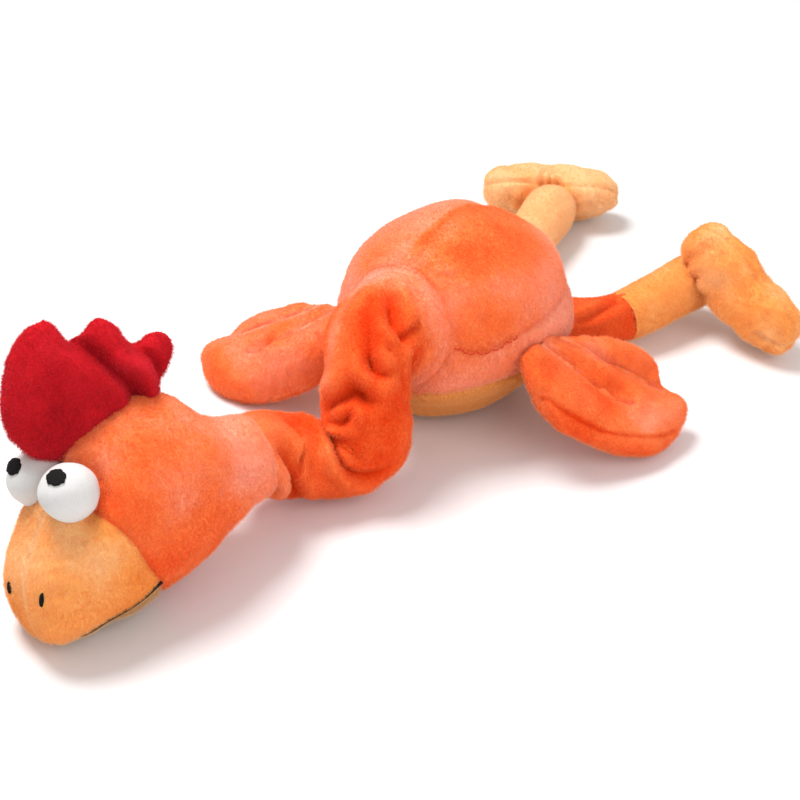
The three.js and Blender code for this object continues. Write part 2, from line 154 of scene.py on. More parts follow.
def lumps(points, size, seed):
    """A smooth random field of about -1 to 1 whose bumps are about size wide."""
    rng = np.random.default_rng(seed)
    waves = 14
    direction = unit(rng.normal(size=(waves, points.shape[1])))
    pitch = 2 * math.pi / (size * rng.uniform(1.4, 3.2, waves))
    phase = rng.uniform(0, 2 * math.pi, waves)
    return np.sin(points @ (direction * pitch[:, None]).T + phase).sum(1) / math.sqrt(waves)


def groove(distance, depth, width):
    return -depth * np.exp(-((distance / width) ** 2))


def sewn(points, line, depth, width, dip, seed, pitch=7.0, pucker=0.3):
    """The height of cloth round a sewn line: a narrow groove in a wide dip, with gathers across it."""
    d, along, _ = near(points, line)
    gathers = np.sin(along * 2 * math.pi / pitch + 2.2 * lumps(points, 12, seed)) * np.exp(-d / 4.0)
    return groove(d, depth, width) - dip * np.exp(-d / 6.0) + pucker * gathers * smooth(d / 1.5)


def place(points, origin, axes):
    return np.asarray(origin) + np.asarray(points, float) @ axes


def frame_at(origin, tip, upper):
    """Axes as rows: x runs to tip, y leans towards upper."""
    x = unit(np.subtract(tip, origin))
    z = unit(np.cross(x, np.subtract(upper, origin)))
    return np.array([x, np.cross(z, x), z])


def head_axes():
    cy, sy, cr, sr = math.cos(HEAD_YAW), math.sin(HEAD_YAW), math.cos(HEAD_ROLL), math.sin(HEAD_ROLL)
    return np.array([[cr * cy, cr * sy, -sr], [-sy, cy, 0], [sr * cy, sr * sy, cr]])


HEAD_AXES = head_axes()


def on_ball(azimuth, elevation):
    """A point of the body; azimuth 0 is the front (-Y) and 90 the left (+X), in degrees."""
    a, e = np.radians(azimuth), np.radians(elevation)
    out = np.stack([np.sin(a) * np.cos(e), -np.cos(a) * np.cos(e), np.sin(e) + 0 * a], -1)
    return BODY_CENTRE + BODY_RADIUS * out


# ---------- surfaces: points in mm and triangles ----------

def loft(rows, cap_start=False, cap_end=False):
    """Quads between closed rings of points, with the ends closed by a fan where asked."""
    count, around = rows.shape[:2]
    faces = []
    for r in range(count - 1):
        for c in range(around):
            n = (c + 1) % around
            faces.append((r * around + c, r * around + n, (r + 1) * around + n, (r + 1) * around + c))
    points = [rows.reshape(-1, 3)]
    total = count * around
    if cap_start:
        points.append(rows[0].mean(0, keepdims=True))
        faces += [(total, (c + 1) % around, c) for c in range(around)]
        total += 1
    if cap_end:
        points.append(rows[-1].mean(0, keepdims=True))
        last = (count - 1) * around
        faces += [(total, last + c, last + (c + 1) % around) for c in range(around)]
    return np.concatenate(points), faces


def triangles(faces):
    out = []
    for f in faces:
        for k in range(1, len(f) - 1):
            out.append((f[0], f[k], f[k + 1]))
    return np.array(out)


def normals(points, tris):
    face = np.cross(points[tris[:, 1]] - points[tris[:, 0]], points[tris[:, 2]] - points[tris[:, 0]])
    total = np.zeros_like(points)
    for k in range(3):
        np.add.at(total, tris[:, k], face)
    return total / np.maximum(np.linalg.norm(total, axis=1, keepdims=True), 1e-12)


def clip(points, tris, g):
    """The part of a surface where g is positive, with its edge exactly where g is zero."""
    inside = g[tris] > 0
    count = inside.sum(1)
    kept = [tuple(t) for t in tris[count == 3]]
    new, where = [], {}

    def cut(a, b):
        key = (min(a, b), max(a, b))
        if key not in where:
            t = g[a] / (g[a] - g[b])
            where[key] = len(points) + len(new)
            new.append(points[a] + t * (points[b] - points[a]))
        return where[key]

    crossing = (count == 1) | (count == 2)
    for t, ins, n in zip(tris[crossing], inside[crossing], count[crossing]):
        k = int(np.argmax(ins)) if n == 1 else int(np.argmin(ins))
        a, b, c = t[k], t[(k + 1) % 3], t[(k + 2) % 3]
        ab, ac = cut(a, b), cut(a, c)
        if n == 1:
            kept.append((a, ab, ac))
        else:
            kept.append((ab, b, c))
            kept.append((ab, c, ac))
    points = np.concatenate([points, np.array(new).reshape(-1, 3)])
    kept = np.array(kept)
    used, index = np.unique(kept, return_inverse=True)
    return points[used], index.reshape(-1, 3)


def shell(points, tris):
    """The cloth under an open surface, as a solid. Its first points are the outer ones."""
    n = len(points)
    inner = points - CLOTH_THICKNESS * normals(points, tris)
    edges = np.concatenate([tris[:, [0, 1]], tris[:, [1, 2]], tris[:, [2, 0]]])
    known = set(map(tuple, edges))
    border = [(a, b) for a, b in map(tuple, edges) if (b, a) not in known]
    wall = [(b, a, a + n) for a, b in border] + [(b, a + n, b + n) for a, b in border]
    parts = [tris, tris[:, ::-1] + n]
    if wall:
        parts.append(np.array(wall))
    return np.concatenate([points, inner]), np.concatenate(parts)


def make(name, points, faces, outer=None, lean=0.5, bare=()):
    """An object from a surface. Pile grows on the first `outer` points but not on the bare ones.

    For each point a value from 0 to 1 says how pale the colour is: the sheen of the pile by the way it lies,
    and shade in creases and under parts, both painted into the colour.
    """
    mesh = bpy.data.meshes.new(name)
    mesh.from_pydata((np.asarray(points) * MM).tolist(), [], [tuple(int(i) for i in f) for f in faces])
    mesh.shade_smooth()
    mesh.set_sharp_from_angle(angle=math.radians(70))
    rest = mesh.attributes.new("rest", "FLOAT_VECTOR", "POINT")
    rest.data.foreach_set("vector", np.asarray(points, np.float32).ravel())
    corners = np.zeros(len(mesh.loops), int)
    mesh.loops.foreach_get("vertex_index", corners)
    # Painted sheen and shade per point, carried to the materials in a UV layer.
    pale = np.zeros((len(corners), 2))
    pale[:, 0] = np.resize(lean, len(points))[corners]
    mesh.uv_layers.new(name="lean").data.foreach_set("uv", pale.ravel())
    obj = bpy.data.objects.new(name, mesh)
    bpy.context.scene.collection.objects.link(obj)
    haired = np.setdiff1d(np.arange(outer or len(points)), bare)
    group = obj.vertex_groups.new(name="pile")
    group.add(haired.tolist(), 1.0, "REPLACE")
    return obj


def evaluated(obj):
    """Points (mm) and faces of an object with its modifiers."""
    graph = bpy.context.evaluated_depsgraph_get()
    mesh = obj.evaluated_get(graph).to_mesh()
    co = np.zeros(len(mesh.vertices) * 3)
    mesh.vertices.foreach_get("co", co)
    faces = [tuple(p.vertices) for p in mesh.polygons]
    obj.evaluated_get(graph).to_mesh_clear()
    return co.reshape(-1, 3) / MM, faces


def remeshed(points, faces, voxel):
    """The same solid as even quads of about voxel size."""
    obj = make("rough", points, faces)
    remesh = obj.modifiers.new("remesh", "REMESH")
    remesh.mode = "VOXEL"
    remesh.voxel_size = voxel * MM
    relax = obj.modifiers.new("relax", "SMOOTH")
    relax.factor = 0.5
    relax.iterations = 4
    result = evaluated(obj)
    bpy.data.objects.remove(obj)
    return result


def stuffed(points, faces, pinned, cap, slack):
    """Cloth blown out by its stuffing. Pinned points stay, and no point moves further than cap."""
    obj = make("cloth", points, faces)
    pins = obj.vertex_groups.new(name="pins")
    pins.add([int(i) for i in np.flatnonzero(pinned)], 1.0, "REPLACE")
    cloth = obj.modifiers.new("stuffing", "CLOTH")
    cloth.settings.vertex_group_mass = "pins"
    cloth.settings.use_pressure = True
    cloth.settings.uniform_pressure_force = PRESSURE
    cloth.settings.effector_weights.gravity = 0
    cloth.settings.shrink_min = -slack
    cloth.settings.shrink_max = -slack
    cloth.settings.quality = 6
    cloth.point_cache.frame_start = 1
    cloth.point_cache.frame_end = SIM_FRAMES
    for number in range(1, SIM_FRAMES + 1):
        bpy.context.scene.frame_set(number)
    moved = evaluated(obj)[0] - points
    bpy.context.scene.frame_set(1)
    bpy.data.objects.remove(obj)
    far = np.linalg.norm(moved, axis=1, keepdims=True)
    return points + moved * np.minimum(1, cap / np.maximum(far, 1e-9))


def subdivided(points, faces, levels):
    obj = make("fine", points, faces)
    modifier = obj.modifiers.new("fine", "SUBSURF")
    modifier.levels = levels
    result = evaluated(obj)
    bpy.data.objects.remove(obj)
    return result


def stuffed_surface(points, faces, pinned, cap, slack, voxel=3.0, levels=1):
    """Remesh, blow up, subdivide: a stuffed piece as points and triangles."""
    points, faces = remeshed(points, faces, voxel)
    points = stuffed(points, faces, pinned(points), cap, slack)
    points, faces = subdivided(points, faces, levels)
    return points, triangles(faces)


def carved(points, tris, height):
    """The surface moved out by height, but in by the depth that its pile will fill."""
    return points + normals(points, tris) * (height - PILE_DEPTH)[:, None]


def pressed(points, depth=3.0):
    """Points with what is lower than depth flattened softly against the floor."""
    points = np.array(points, float)
    low = points[:, 2]
    points[:, 2] = np.where(low < depth, depth * np.exp((np.minimum(low, depth) - depth) / depth), low)
    return points


def nap(points, seed):
    """The fine unevenness that the pile gives a surface."""
    return 0.16 * (lumps(points, 2.2, seed) + 0.8 * lumps(points, 5.0, seed + 1))


# ---------- flat pads: two pieces of cloth sewn along their rim ----------

PAD_STEP = 1.5              # the grid that a pad's cloth is laid out on
PAD_ROUNDS = 700            # how often its height is evened out
AT_RIM = 0.0215             # points nearer than this to the rim lie on it
QUILT_PINCH = 0.24          # the share of its height that a pad loses along a quilting line


def inside_outline(x, y, outline):
    inside = np.zeros(x.shape, bool)
    for (x0, y0), (x1, y1) in zip(outline, np.roll(outline, -1, axis=0)):
        crosses = (y0 > y) != (y1 > y)
        with np.errstate(divide="ignore", invalid="ignore"):
            inside ^= crosses & (x < (x1 - x0) * (y - y0) / (y1 - y0) + x0)
    return inside


def pad(outline, dome, below=1.0, quilting=()):
    """A closed pad over an outline in its own xy plane, as full as its rim and quilting lines let it be."""
    rim = curve(outline, len(outline) * 10, closed=True)
    low, high = rim.min(0) - 2 * PAD_STEP, rim.max(0) + 2 * PAD_STEP
    xs, ys = np.arange(low[0], high[0], PAD_STEP), np.arange(low[1], high[1], PAD_STEP)
    x, y = np.meshgrid(xs, ys, indexing="ij")
    flat = np.stack([x.ravel(), y.ravel()], 1)
    inside = inside_outline(x, y, rim)
    held = np.ones(x.shape)
    for line in quilting:
        d = near(flat, curve(line, 24))[0].reshape(x.shape)
        held *= 1 - QUILT_PINCH * np.exp(-((d / 2.0) ** 2))
    lift = np.zeros(x.shape)
    for _ in range(PAD_ROUNDS):
        spread = (np.roll(lift, 1, 0) + np.roll(lift, -1, 0) + np.roll(lift, 1, 1) + np.roll(lift, -1, 1)) / 4
        lift = np.where(inside, (spread + 1) * held, 0)
    height = dome * np.sqrt(lift / lift.max()).ravel()
    rim = np.concatenate([rim, rim[:1]])
    distance = near(flat, rim)[0]
    signed = np.where(inside.ravel(), distance, -distance)
    rows, columns = x.shape
    index = np.arange(rows * columns).reshape(rows, columns)
    a, b, c, d = index[:-1, :-1], index[1:, :-1], index[1:, 1:], index[:-1, 1:]
    halves = [np.stack(corners, -1).reshape(-1, 3) for corners in ((a, b, c), (a, c, d))]
    tris = np.concatenate(halves)
    sheet = np.column_stack([flat, height])
    sheet, tris = clip(sheet, tris, signed)
    sheet[near(sheet[:, :2], rim)[0] < AT_RIM, 2] = 0
    under = sheet * [1, 1, -below]
    points = np.concatenate([sheet, under])
    faces = np.concatenate([tris, tris[:, ::-1] + len(sheet)])
    on_rim = np.flatnonzero(sheet[:, 2] == 0)
    alias = np.arange(len(points))
    alias[on_rim + len(sheet)] = on_rim
    return points, [tuple(f) for f in alias[faces]]


# ---------- tubes of slack cloth ----------

def tube_frames(path, start_axis=None, end_axis=None):
    """Two directions across a path that don't twist, from tangents smoothed over its bends."""
    tangent = unit(np.gradient(path, axis=0))
    for _ in range(8):
        tangent[1:-1] = unit(tangent[:-2] + tangent[1:-1] * 2 + tangent[2:])
    share = np.linspace(0, 1, len(path))[:, None]
    if start_axis is not None:
        tangent = unit(tangent + (np.asarray(start_axis) - tangent) * smooth(1 - share / 0.12))
    if end_axis is not None:
        tangent = unit(tangent + (np.asarray(end_axis) - tangent) * smooth(1 - (1 - share) / 0.12))
    across = np.zeros_like(path)
    side = np.cross(tangent[0], [0.0, 0.0, 1.0])
    for k, t in enumerate(tangent):
        side = unit(side - (side @ t) * t)
        across[k] = side
    return across, np.cross(tangent, across)


def ring_grid(rings, around):
    """For each point of a tube's rings: its share of the tube's length, and its angle."""
    angle = np.linspace(0, 2 * math.pi, around, endpoint=False)
    return np.meshgrid(np.linspace(0, 1, rings), angle, indexing="ij")


def tube(path, relief, start_axis=None, end_axis=None):
    """Rings of points along a path of x, y, z and radius. relief, by ring and point, adds to the radius."""
    middle, radius = path[:, :3], path[:, 3]
    across, over = tube_frames(middle, start_axis, end_axis)
    _, angle = ring_grid(*relief.shape)
    out = np.cos(angle)[..., None] * across[:, None] + np.sin(angle)[..., None] * over[:, None]
    return middle[:, None] + out * (radius[:, None] + relief)[..., None]


def ball(radius, centre, segments=48, rings=None):
    rings = rings or segments // 2 - 1
    polar = np.linspace(0, math.pi, rings + 2)[1:-1]
    angle = np.linspace(0, 2 * math.pi, segments, endpoint=False)
    p, a = np.meshgrid(polar, angle, indexing="ij")
    rows = np.stack([np.sin(p) * np.cos(a), np.sin(p) * np.sin(a), -np.cos(p)], -1)
    points, faces = loft(rows, True, True)
    return points * radius + np.asarray(centre), faces


# ---------- materials ----------

def add(tree, kind, **values):
    node = tree.nodes.new(kind)
    for key, value in values.items():
        if key in node.inputs:
            node.inputs[key].default_value = value
        else:
            setattr(node, key, value)
    return node


def set_inputs(node, values):
    for key, value in values.items():
        node.inputs[key].default_value = value


def ramp(tree, value, colours):
    node = tree.nodes.new("ShaderNodeValToRGB")
    tree.links.new(value, node.inputs[0])
    elements = node.color_ramp.elements
    for k, (position, colour) in enumerate(colours):
        element = elements[k] if k < 2 else elements.new(position)
        element.position = position
        element.color = (*colour, 1)
    return node.outputs[0]


def pale_or_deep(tree, tones, *parts):
    """Colour from deep to pale, by the painted sheen and shade stored on the surface here and by parts: pairs
    of socket and share.
    """
    lean = add(tree, "ShaderNodeAttribute", attribute_name="lean")
    split = add(tree, "ShaderNodeSeparateXYZ")
    tree.links.new(lean.outputs["Vector"], split.inputs[0])
    value = split.outputs["X"]
    for socket, share in parts:
        centred = add(tree, "ShaderNodeMath", operation="SUBTRACT")
        tree.links.new(socket, centred.inputs[0])
        added = add(tree, "ShaderNodeMath", operation="MULTIPLY_ADD")
        added.inputs[1].default_value = share
        tree.links.new(centred.outputs[0], added.inputs[0])
        tree.links.new(value, added.inputs[2])
        value = added.outputs[0]
    deep, middle, pale = tones
    return ramp(tree, value, [(0.0, deep), (1.0, pale), (0.5, middle)])


def cloth_material(name, tones, grain=0.9, bump=0.5, sheen=0.4, stretch=(1, 1, 1)):
    """Pile, knit or thread: its colour wanders in soft patches and again fibre by fibre."""
    material = bpy.data.materials.new(name)
    material.use_nodes = True
    tree = material.node_tree
    shader = tree.nodes["Principled BSDF"]
    rest = add(tree, "ShaderNodeAttribute", attribute_name="rest")
    squeeze = add(tree, "ShaderNodeVectorMath", operation="MULTIPLY")
    squeeze.inputs[1].default_value = stretch
    tree.links.new(rest.outputs["Vector"], squeeze.inputs[0])
    patches = add(tree, "ShaderNodeTexNoise", Scale=0.045, Detail=3.0, Roughness=0.55)
    fibres = add(tree, "ShaderNodeTexNoise", Scale=grain, Detail=4.0, Roughness=0.7)
    tree.links.new(rest.outputs["Vector"], patches.inputs["Vector"])
    tree.links.new(squeeze.outputs[0], fibres.inputs["Vector"])
    colour = pale_or_deep(tree, tones, (fibres.outputs["Fac"], 1.0), (patches.outputs["Fac"], 0.9))
    tree.links.new(colour, shader.inputs["Base Color"])
    relief = add(tree, "ShaderNodeBump", Strength=bump, Distance=0.6 * MM)
    tree.links.new(fibres.outputs["Fac"], relief.inputs["Height"])
    tree.links.new(relief.outputs[0], shader.inputs["Normal"])
    set_inputs(shader, {"Roughness": 0.95, "Specular IOR Level": 0.12, "Sheen Weight": sheen,
                        "Sheen Roughness": 0.45, "Sheen Tint": (*tones[2], 1)})
    return material


# Each plush as its deep, middle and pale colour; the deep end also serves for painted shade and the pale end
# for painted sheen.
PLUSH = {
    "orange_plush": [(0.88, 0.06, 0.004), (0.97, 0.2, 0.046), (0.98, 0.36, 0.235)],
    "neck_plush": [(0.88, 0.06, 0.004), (0.97, 0.2, 0.046), (0.98, 0.36, 0.235)],
    "gold_plush": [(0.9, 0.24, 0.025), (0.96, 0.39, 0.1), (0.98, 0.58, 0.28)],
    "belly_plush": [(0.62, 0.19, 0.03), (0.84, 0.32, 0.075), (0.95, 0.48, 0.16)],
    "red_plush": [(0.34, 0.003, 0.007), (0.6, 0.008, 0.015), (0.7, 0.02, 0.035)],
    "tan_plush": [(0.5, 0.25, 0.1), (0.68, 0.38, 0.17), (0.82, 0.52, 0.27)],
}
MATERIALS = {slot: cloth_material(slot, tones) for slot, tones in PLUSH.items()}
# Knit, threads and the squeaker's plastic: their tones and how their surface differs from plush.
PLAIN = {
    "eye_knit": {"tones": [(0.6, 0.58, 0.56), (0.72, 0.7, 0.68), (0.8, 0.79, 0.78)],
                 "grain": 1.2, "bump": 0.25, "sheen": 0.1},
    "black_thread": {"tones": [(0.004, 0.004, 0.004), (0.011, 0.01, 0.01), (0.03, 0.028, 0.027)],
                     "grain": 1.6, "sheen": 0.05, "stretch": (3, 1, 1)},
    "orange_thread": {"tones": [(0.5, 0.03, 0.01), (0.68, 0.06, 0.02), (0.8, 0.1, 0.03)],
                      "grain": 1.6, "sheen": 0.05},
    "plastic": {"tones": [(0.66, 0.7, 0.74), (0.7, 0.74, 0.78), (0.74, 0.78, 0.82)],
                "grain": 0.2, "bump": 0.05, "sheen": 0.0},
}
MATERIALS.update({name: cloth_material(name, **looks) for name, looks in PLAIN.items()})

# Light goes through many fibres and gets deeper in each, so a fibre's own colour is lighter than the cloth's.
FIBRE_LIFT = 0.78


def pile_material(slot, tones):
    """Fibres that are deep at the root, a painted shade down in the pile, and pale at the tip."""
    material = bpy.data.materials.new(slot + "_pile")
    material.use_nodes = True
    tree = material.node_tree
    shader = tree.nodes["Principled BSDF"]
    strand = add(tree, "ShaderNodeHairInfo")
    lit = [tuple(c ** FIBRE_LIFT for c in tone) for tone in tones]
    colour = pale_or_deep(tree, lit, (strand.outputs["Intercept"], 0.5), (strand.outputs["Random"], 0.25))
    tree.links.new(colour, shader.inputs["Base Color"])
    set_inputs(shader, {"Roughness": 0.85, "Specular IOR Level": 0.1})
    return material


PILE = {slot: pile_material(slot, tones) for slot, tones in PLUSH.items()}


def grow_pile(obj, slot):
    """Short fibres on the outer side of a plush piece, all leaning one way."""
    co = np.array([v.co for v in obj.data.vertices]) / MM
    tris = triangles([p.vertices for p in obj.data.polygons])
    a, b, c = (co[tris[:, k]] for k in range(3))
    area = np.linalg.norm(np.cross(b - a, c - a), axis=1) / 2
    haired = np.array([len(v.groups) > 0 for v in obj.data.vertices])
    obj.data.materials.append(PILE[slot])
    modifier = obj.modifiers.new("pile", "PARTICLE_SYSTEM")
    system = modifier.particle_system
    system.seed = SEED
    system.vertex_group_density = "pile"
    fibre = system.settings
    fibre.type = "HAIR"
    fibre.count = int(area[haired[tris].all(1)].sum() * PILE_DENSITY)
    fibre.hair_step = 2
    fibre.render_step = 2
    fibre.display_step = 2
    fibre.use_advanced_hair = True
    speed = PILE_LENGTH * MM / 4        # a strand grows to four times its starting speed
    fibre.normal_factor = 0.8 * speed
    fibre.object_align_factor = (0, 0, -0.35 * speed)
    fibre.factor_random = 0.35 * speed
    fibre.root_radius = 0.14
    fibre.tip_radius = 0.05
    fibre.radius_scale = MM
    fibre.material = len(obj.data.materials)


plush_pieces = []


def dress(obj, slot, *stands_for, fill=None, material=None):
    """Gives a piece the material of its slot, hides the CAD nodes it stands for and keeps plush pieces for
    their pile. fill is not used.
    """
    obj.data.materials.clear()
    obj.data.materials.append(MATERIALS[material or slot])
    if slot in PLUSH and not material:
        plush_pieces.append((obj, slot))
    if stands_for:
        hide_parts(*stands_for)


def riding(body, name, points, faces, slot, *stands_for, fill=None, material=None, **looks):
    """Makes and dresses a piece that moves with one body."""
    obj = make(name, points, faces, **looks)
    dress(obj, slot, *stands_for, fill=fill, material=material)
    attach(obj, body)


def bending(above, below, start, end, name, points, faces, slot, *stands_for, fill, **looks):
    """Makes and dresses a piece that stays where its points are. above, below, start and end are not used."""
    obj = make(name, points, faces, **looks)
    dress(obj, slot, *stands_for, fill=fill)
    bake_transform(obj)


def thread(path, radius):
    """A closed round thread along a path."""
    path = np.asarray(path, float)
    rows = tube(np.column_stack([path, np.full(len(path), radius)]), np.zeros((len(path), THREAD_SIDES)))
    return loft(rows[:, ::-1], True, True)


def joined(surfaces):
    """Several surfaces as one."""
    points, faces, total = [], [], 0
    for more_points, more_faces in surfaces:
        points.append(more_points)
        faces += [tuple(i + total for i in f) for f in more_faces]
        total += len(more_points)
    return np.concatenate(points), faces


# ---------- body ----------

def ball_angles(points):
    """Azimuth and elevation, in degrees, of points round the body's centre."""
    d = unit(points - BODY_CENTRE)
    return np.degrees(np.arctan2(d[:, 0], -d[:, 1])), np.degrees(np.arcsin(np.clip(d[:, 2], -1, 1)))


def off_yoke(points):
    """How far a point of the body lies outside the neck opening, in mm along the ball."""
    return BODY_RADIUS * (np.arccos(np.clip(unit(points - BODY_CENTRE) @ YOKE_AXIS, -1, 1)) - YOKE_ANGLE)


def off_belly(points):
    return BODY_RADIUS * (np.arcsin(np.clip(unit(points - BODY_CENTRE)[:, 2], -1, 1)) - BELLY_EDGE)


# Azimuth and elevation, in degrees.
SIDE_SEAM = [[32, 19], [40, 13], [52, 12], [66, 16], [80, 19], [100, 20], [130, 20], [160, 22], [180, 23]]

# Where the ball is flatter, or fuller: the way out from its middle, how deep, and the cosines with that way
# from which and over which the dent grows.
BODY_DENTS = [
    {"toward": [0.75, -0.15, -0.64], "depth": 7.0, "from": 0.55, "over": 0.4},
    {"toward": [-0.4, 0.2, 0.9], "depth": 4.0, "from": 0.45, "over": 0.5},
    {"toward": [-0.95, -0.25, 0.15], "depth": -1.2, "from": 0.6, "over": 0.4},
]


def side_seam(side):
    azimuth, elevation = curve(SIDE_SEAM, 60).T
    return on_ball(side * azimuth, elevation)


def build_body():
    points, faces = ball(BODY_RADIUS, BODY_CENTRE, segments=64, rings=33)
    back = np.array([[BACK_SEAM_X * smooth(np.array(k / 20)), 0, 0] for k in range(1, 60)])
    lie = np.radians(np.linspace(51, 190, 59))
    back_seam = BODY_CENTRE + back + BODY_RADIUS * np.stack([0 * lie, -np.cos(lie), np.sin(lie)], -1)
    seams = [back_seam, side_seam(1), side_seam(-1)]

    def pinned(q):
        held = (np.abs(off_yoke(q)) < 6) | (np.abs(off_belly(q)) < SEAM_HOLD)
        for line in seams:
            held |= near(q, line)[0] < SEAM_HOLD
        return held

    points, tris = stuffed_surface(points, faces, pinned, voxel=4.0, levels=2, cap=1.5, slack=0.02)
    height = nap(points, SEED)
    for k, line in enumerate(seams):
        height += sewn(points, line, depth=0.9, width=1.2, dip=0.8, seed=k)
    height += groove(off_yoke(points), 0.5, 1.3) + 1.0 * np.exp(-((off_yoke(points) / 10) ** 2))
    height += groove(off_belly(points), 1.6, 1.8) - 1.4 * np.exp(-np.abs(off_belly(points)) / 6)
    height += 0.8 * lumps(points, 22, SEED + 3)
    height -= 4.0 * smooth(-off_belly(points) / 22)
    out = unit(points - BODY_CENTRE)
    for dent in BODY_DENTS:
        height -= dent["depth"] * smooth((out @ unit(dent["toward"]) - dent["from"]) / dent["over"])
    return pressed(carved(points, tris, height), depth=5.0), tris


def body_lean(points):
    """Right of the back seam and below the side seams the pile lies the other way, and its sheen there is
    painted as a paler colour; deeper on the crown and paler on the left side towards the outline, a painted
    sheen.
    """
    azimuth, elevation = ball_angles(points)
    over = points[:, 0] - BACK_SEAM_X
    right = smooth(-over / 3)
    seam = np.interp(np.abs(azimuth), *np.transpose(SIDE_SEAM))
    below = smooth((seam - elevation) / 2)
    crown = np.exp(-((elevation - 62) / 20) ** 2) * (1 - right) * smooth((off_yoke(points) - 6) / 16)
    left_side = smooth((azimuth - 70) / 50) * smooth((60 - elevation) / 25)
    lean = 0.58 - 0.25 * crown + 0.22 * right + 0.16 * below + 0.25 * left_side
    return lean + 0.1 * lumps(points, 16, SEED + 70)


def stitches(line, pitch, length, radius):
    """A row of short threads along a seam, pitch apart, each length long."""
    step = np.linalg.norm(np.diff(line, axis=0), axis=1)
    along = np.concatenate([[0], np.cumsum(step)])
    surfaces = []
    for k, at in enumerate(np.arange(pitch / 2, along[-1], pitch)):
        middle = np.array([np.interp(at, along, line[:, i]) for i in range(3)])
        ahead = np.array([np.interp(at + 1, along, line[:, i]) for i in range(3)])
        out = unit(middle - BODY_CENTRE)
        forward = unit(ahead - middle)
        across = np.cross(out, forward)
        way = unit(forward + 0.45 * (-1) ** k * across)
        bow = np.linspace(-1, 1, 9)
        path = [middle + way * length / 2 * b + out * (1.1 * (1 - b * b) - 0.4) for b in bow]
        surfaces.append(thread(path, radius))
    return joined(surfaces)


body_points, body_tris = build_body()
cover = clip(body_points, body_tris, off_yoke(body_points))
upper = clip(*cover, off_belly(cover[0]))
lower = clip(*cover, -off_belly(cover[0]))
BACK_NODES = ("back_panel_left", "back_panel_right", "flank_panel_left", "flank_panel_right")
riding("body", "body_cover", *shell(*upper), "orange_plush", *BACK_NODES, "body_wadding_upper", fill=0.85,
       outer=len(upper[0]), lean=body_lean(upper[0]))
riding("body", "belly", *shell(*lower), "belly_plush", "belly_panel", "body_wadding_lower", fill=0.85,
       outer=len(lower[0]))
# The side seam was closed by hand on the left, in front of the wing.
hand_sewn = side_seam(1)[4:25]
hand_stitches = stitches(hand_sewn, pitch=4.0, length=2.8, radius=0.4)
riding("body", "closing_stitches", *hand_stitches, "orange_plush", material="orange_thread")
for part in ("squeaker_bulb", "squeaker_reed"):
    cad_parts[part].data.materials.clear()
    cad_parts[part].data.materials.append(MATERIALS["plastic"])


# ---------- neck ----------

NECK_RINGS, NECK_AROUND = 220, 150
# The neck laid flat: its length, and mm round it for each radian.
NECK_LENGTH = 190.0
NECK_GIRTH = 20.0
# Creases of the slack skin. Each line runs over share of length and angle round the neck (4.7 is on top).
# depth and width are the crease's; ridge is the height of the cloth pushed up beside it, step that of the
# cloth that laps over it on its far side.
NECK_FOLDS = [
    {"line": [[0.225, 4.9], [0.25, 4.55], [0.29, 4.2], [0.33, 3.75]],
     "depth": 7.0, "width": 3.0, "ridge": 2.4},
    {"line": [[0.27, 4.85], [0.33, 4.55], [0.375, 4.4], [0.41, 4.2]],
     "depth": 3.6, "width": 2.8, "ridge": 1.6},
    {"line": [[0.25, 3.72], [0.29, 3.68], [0.335, 3.72]], "depth": 5.0, "width": 1.9, "ridge": 2.4},
    {"line": [[0.47, 5.6], [0.45, 5.1], [0.437, 4.75], [0.45, 4.3]],
     "depth": 8.0, "width": 2.8, "ridge": 3.0},
    {"line": [[0.492, 5.5], [0.49, 5.05], [0.475, 4.8]], "depth": 6.0, "width": 2.2, "ridge": 2.2},
    {"line": [[0.382, 4.45], [0.402, 4.1], [0.395, 3.85]], "depth": 4.6, "width": 1.9, "ridge": 1.6},
    {"line": [[0.35, 4.2], [0.375, 3.7], [0.42, 3.3]], "depth": 2.6, "width": 2.4, "ridge": 1.2},
    {"line": [[0.75, 6.2], [0.722, 5.8], [0.698, 5.2], [0.686, 4.7], [0.655, 4.1], [0.6, 3.5]],
     "depth": 4.5, "width": 2.2, "ridge": 1.0, "step": 6.0},
    {"line": [[0.94, 4.95], [0.9, 4.4], [0.82, 3.9], [0.8, 3.4]], "depth": 6.0, "width": 3.6, "ridge": 2.8},
    {"line": [[0.86, 5.6], [0.85, 5.0], [0.875, 4.6]], "depth": 2.4, "width": 3.0, "ridge": 1.4},
    {"line": [[0.95, 3.9], [0.93, 3.5], [0.9, 3.0]], "depth": 4.0, "width": 2.0, "ridge": 2.0},
    {"line": [[0.3, 1.2], [0.36, 2.0], [0.42, 2.4]], "depth": 4.0, "width": 2.6, "ridge": 1.8},
    {"line": [[0.55, 1.0], [0.57, 1.8], [0.6, 2.4]], "depth": 4.0, "width": 2.6, "ridge": 1.8},
    {"line": [[0.74, 1.0], [0.77, 1.9], [0.76, 2.6]], "depth": 4.0, "width": 2.6, "ridge": 1.8},
]


def folded(flat, line, depth, width, ridge, step=0.0):
    """Height of cloth at flat points (mm along and round) beside one crease, which fades out at its ends."""
    d, along, side = near(flat, line)
    total = np.linalg.norm(np.diff(line, axis=0), axis=1).sum()
    fade = smooth((along + 3) / 7) * smooth((total - along + 3) / 7)
    height = groove(d, depth, width) + ridge * np.exp(-(((d - 2.4 * width) / (1.3 * width)) ** 2))
    lap = np.where(side > 0, smooth(d / 1.5) * np.exp(-d / 14.0), 0)
    return fade * (height + step * lap)


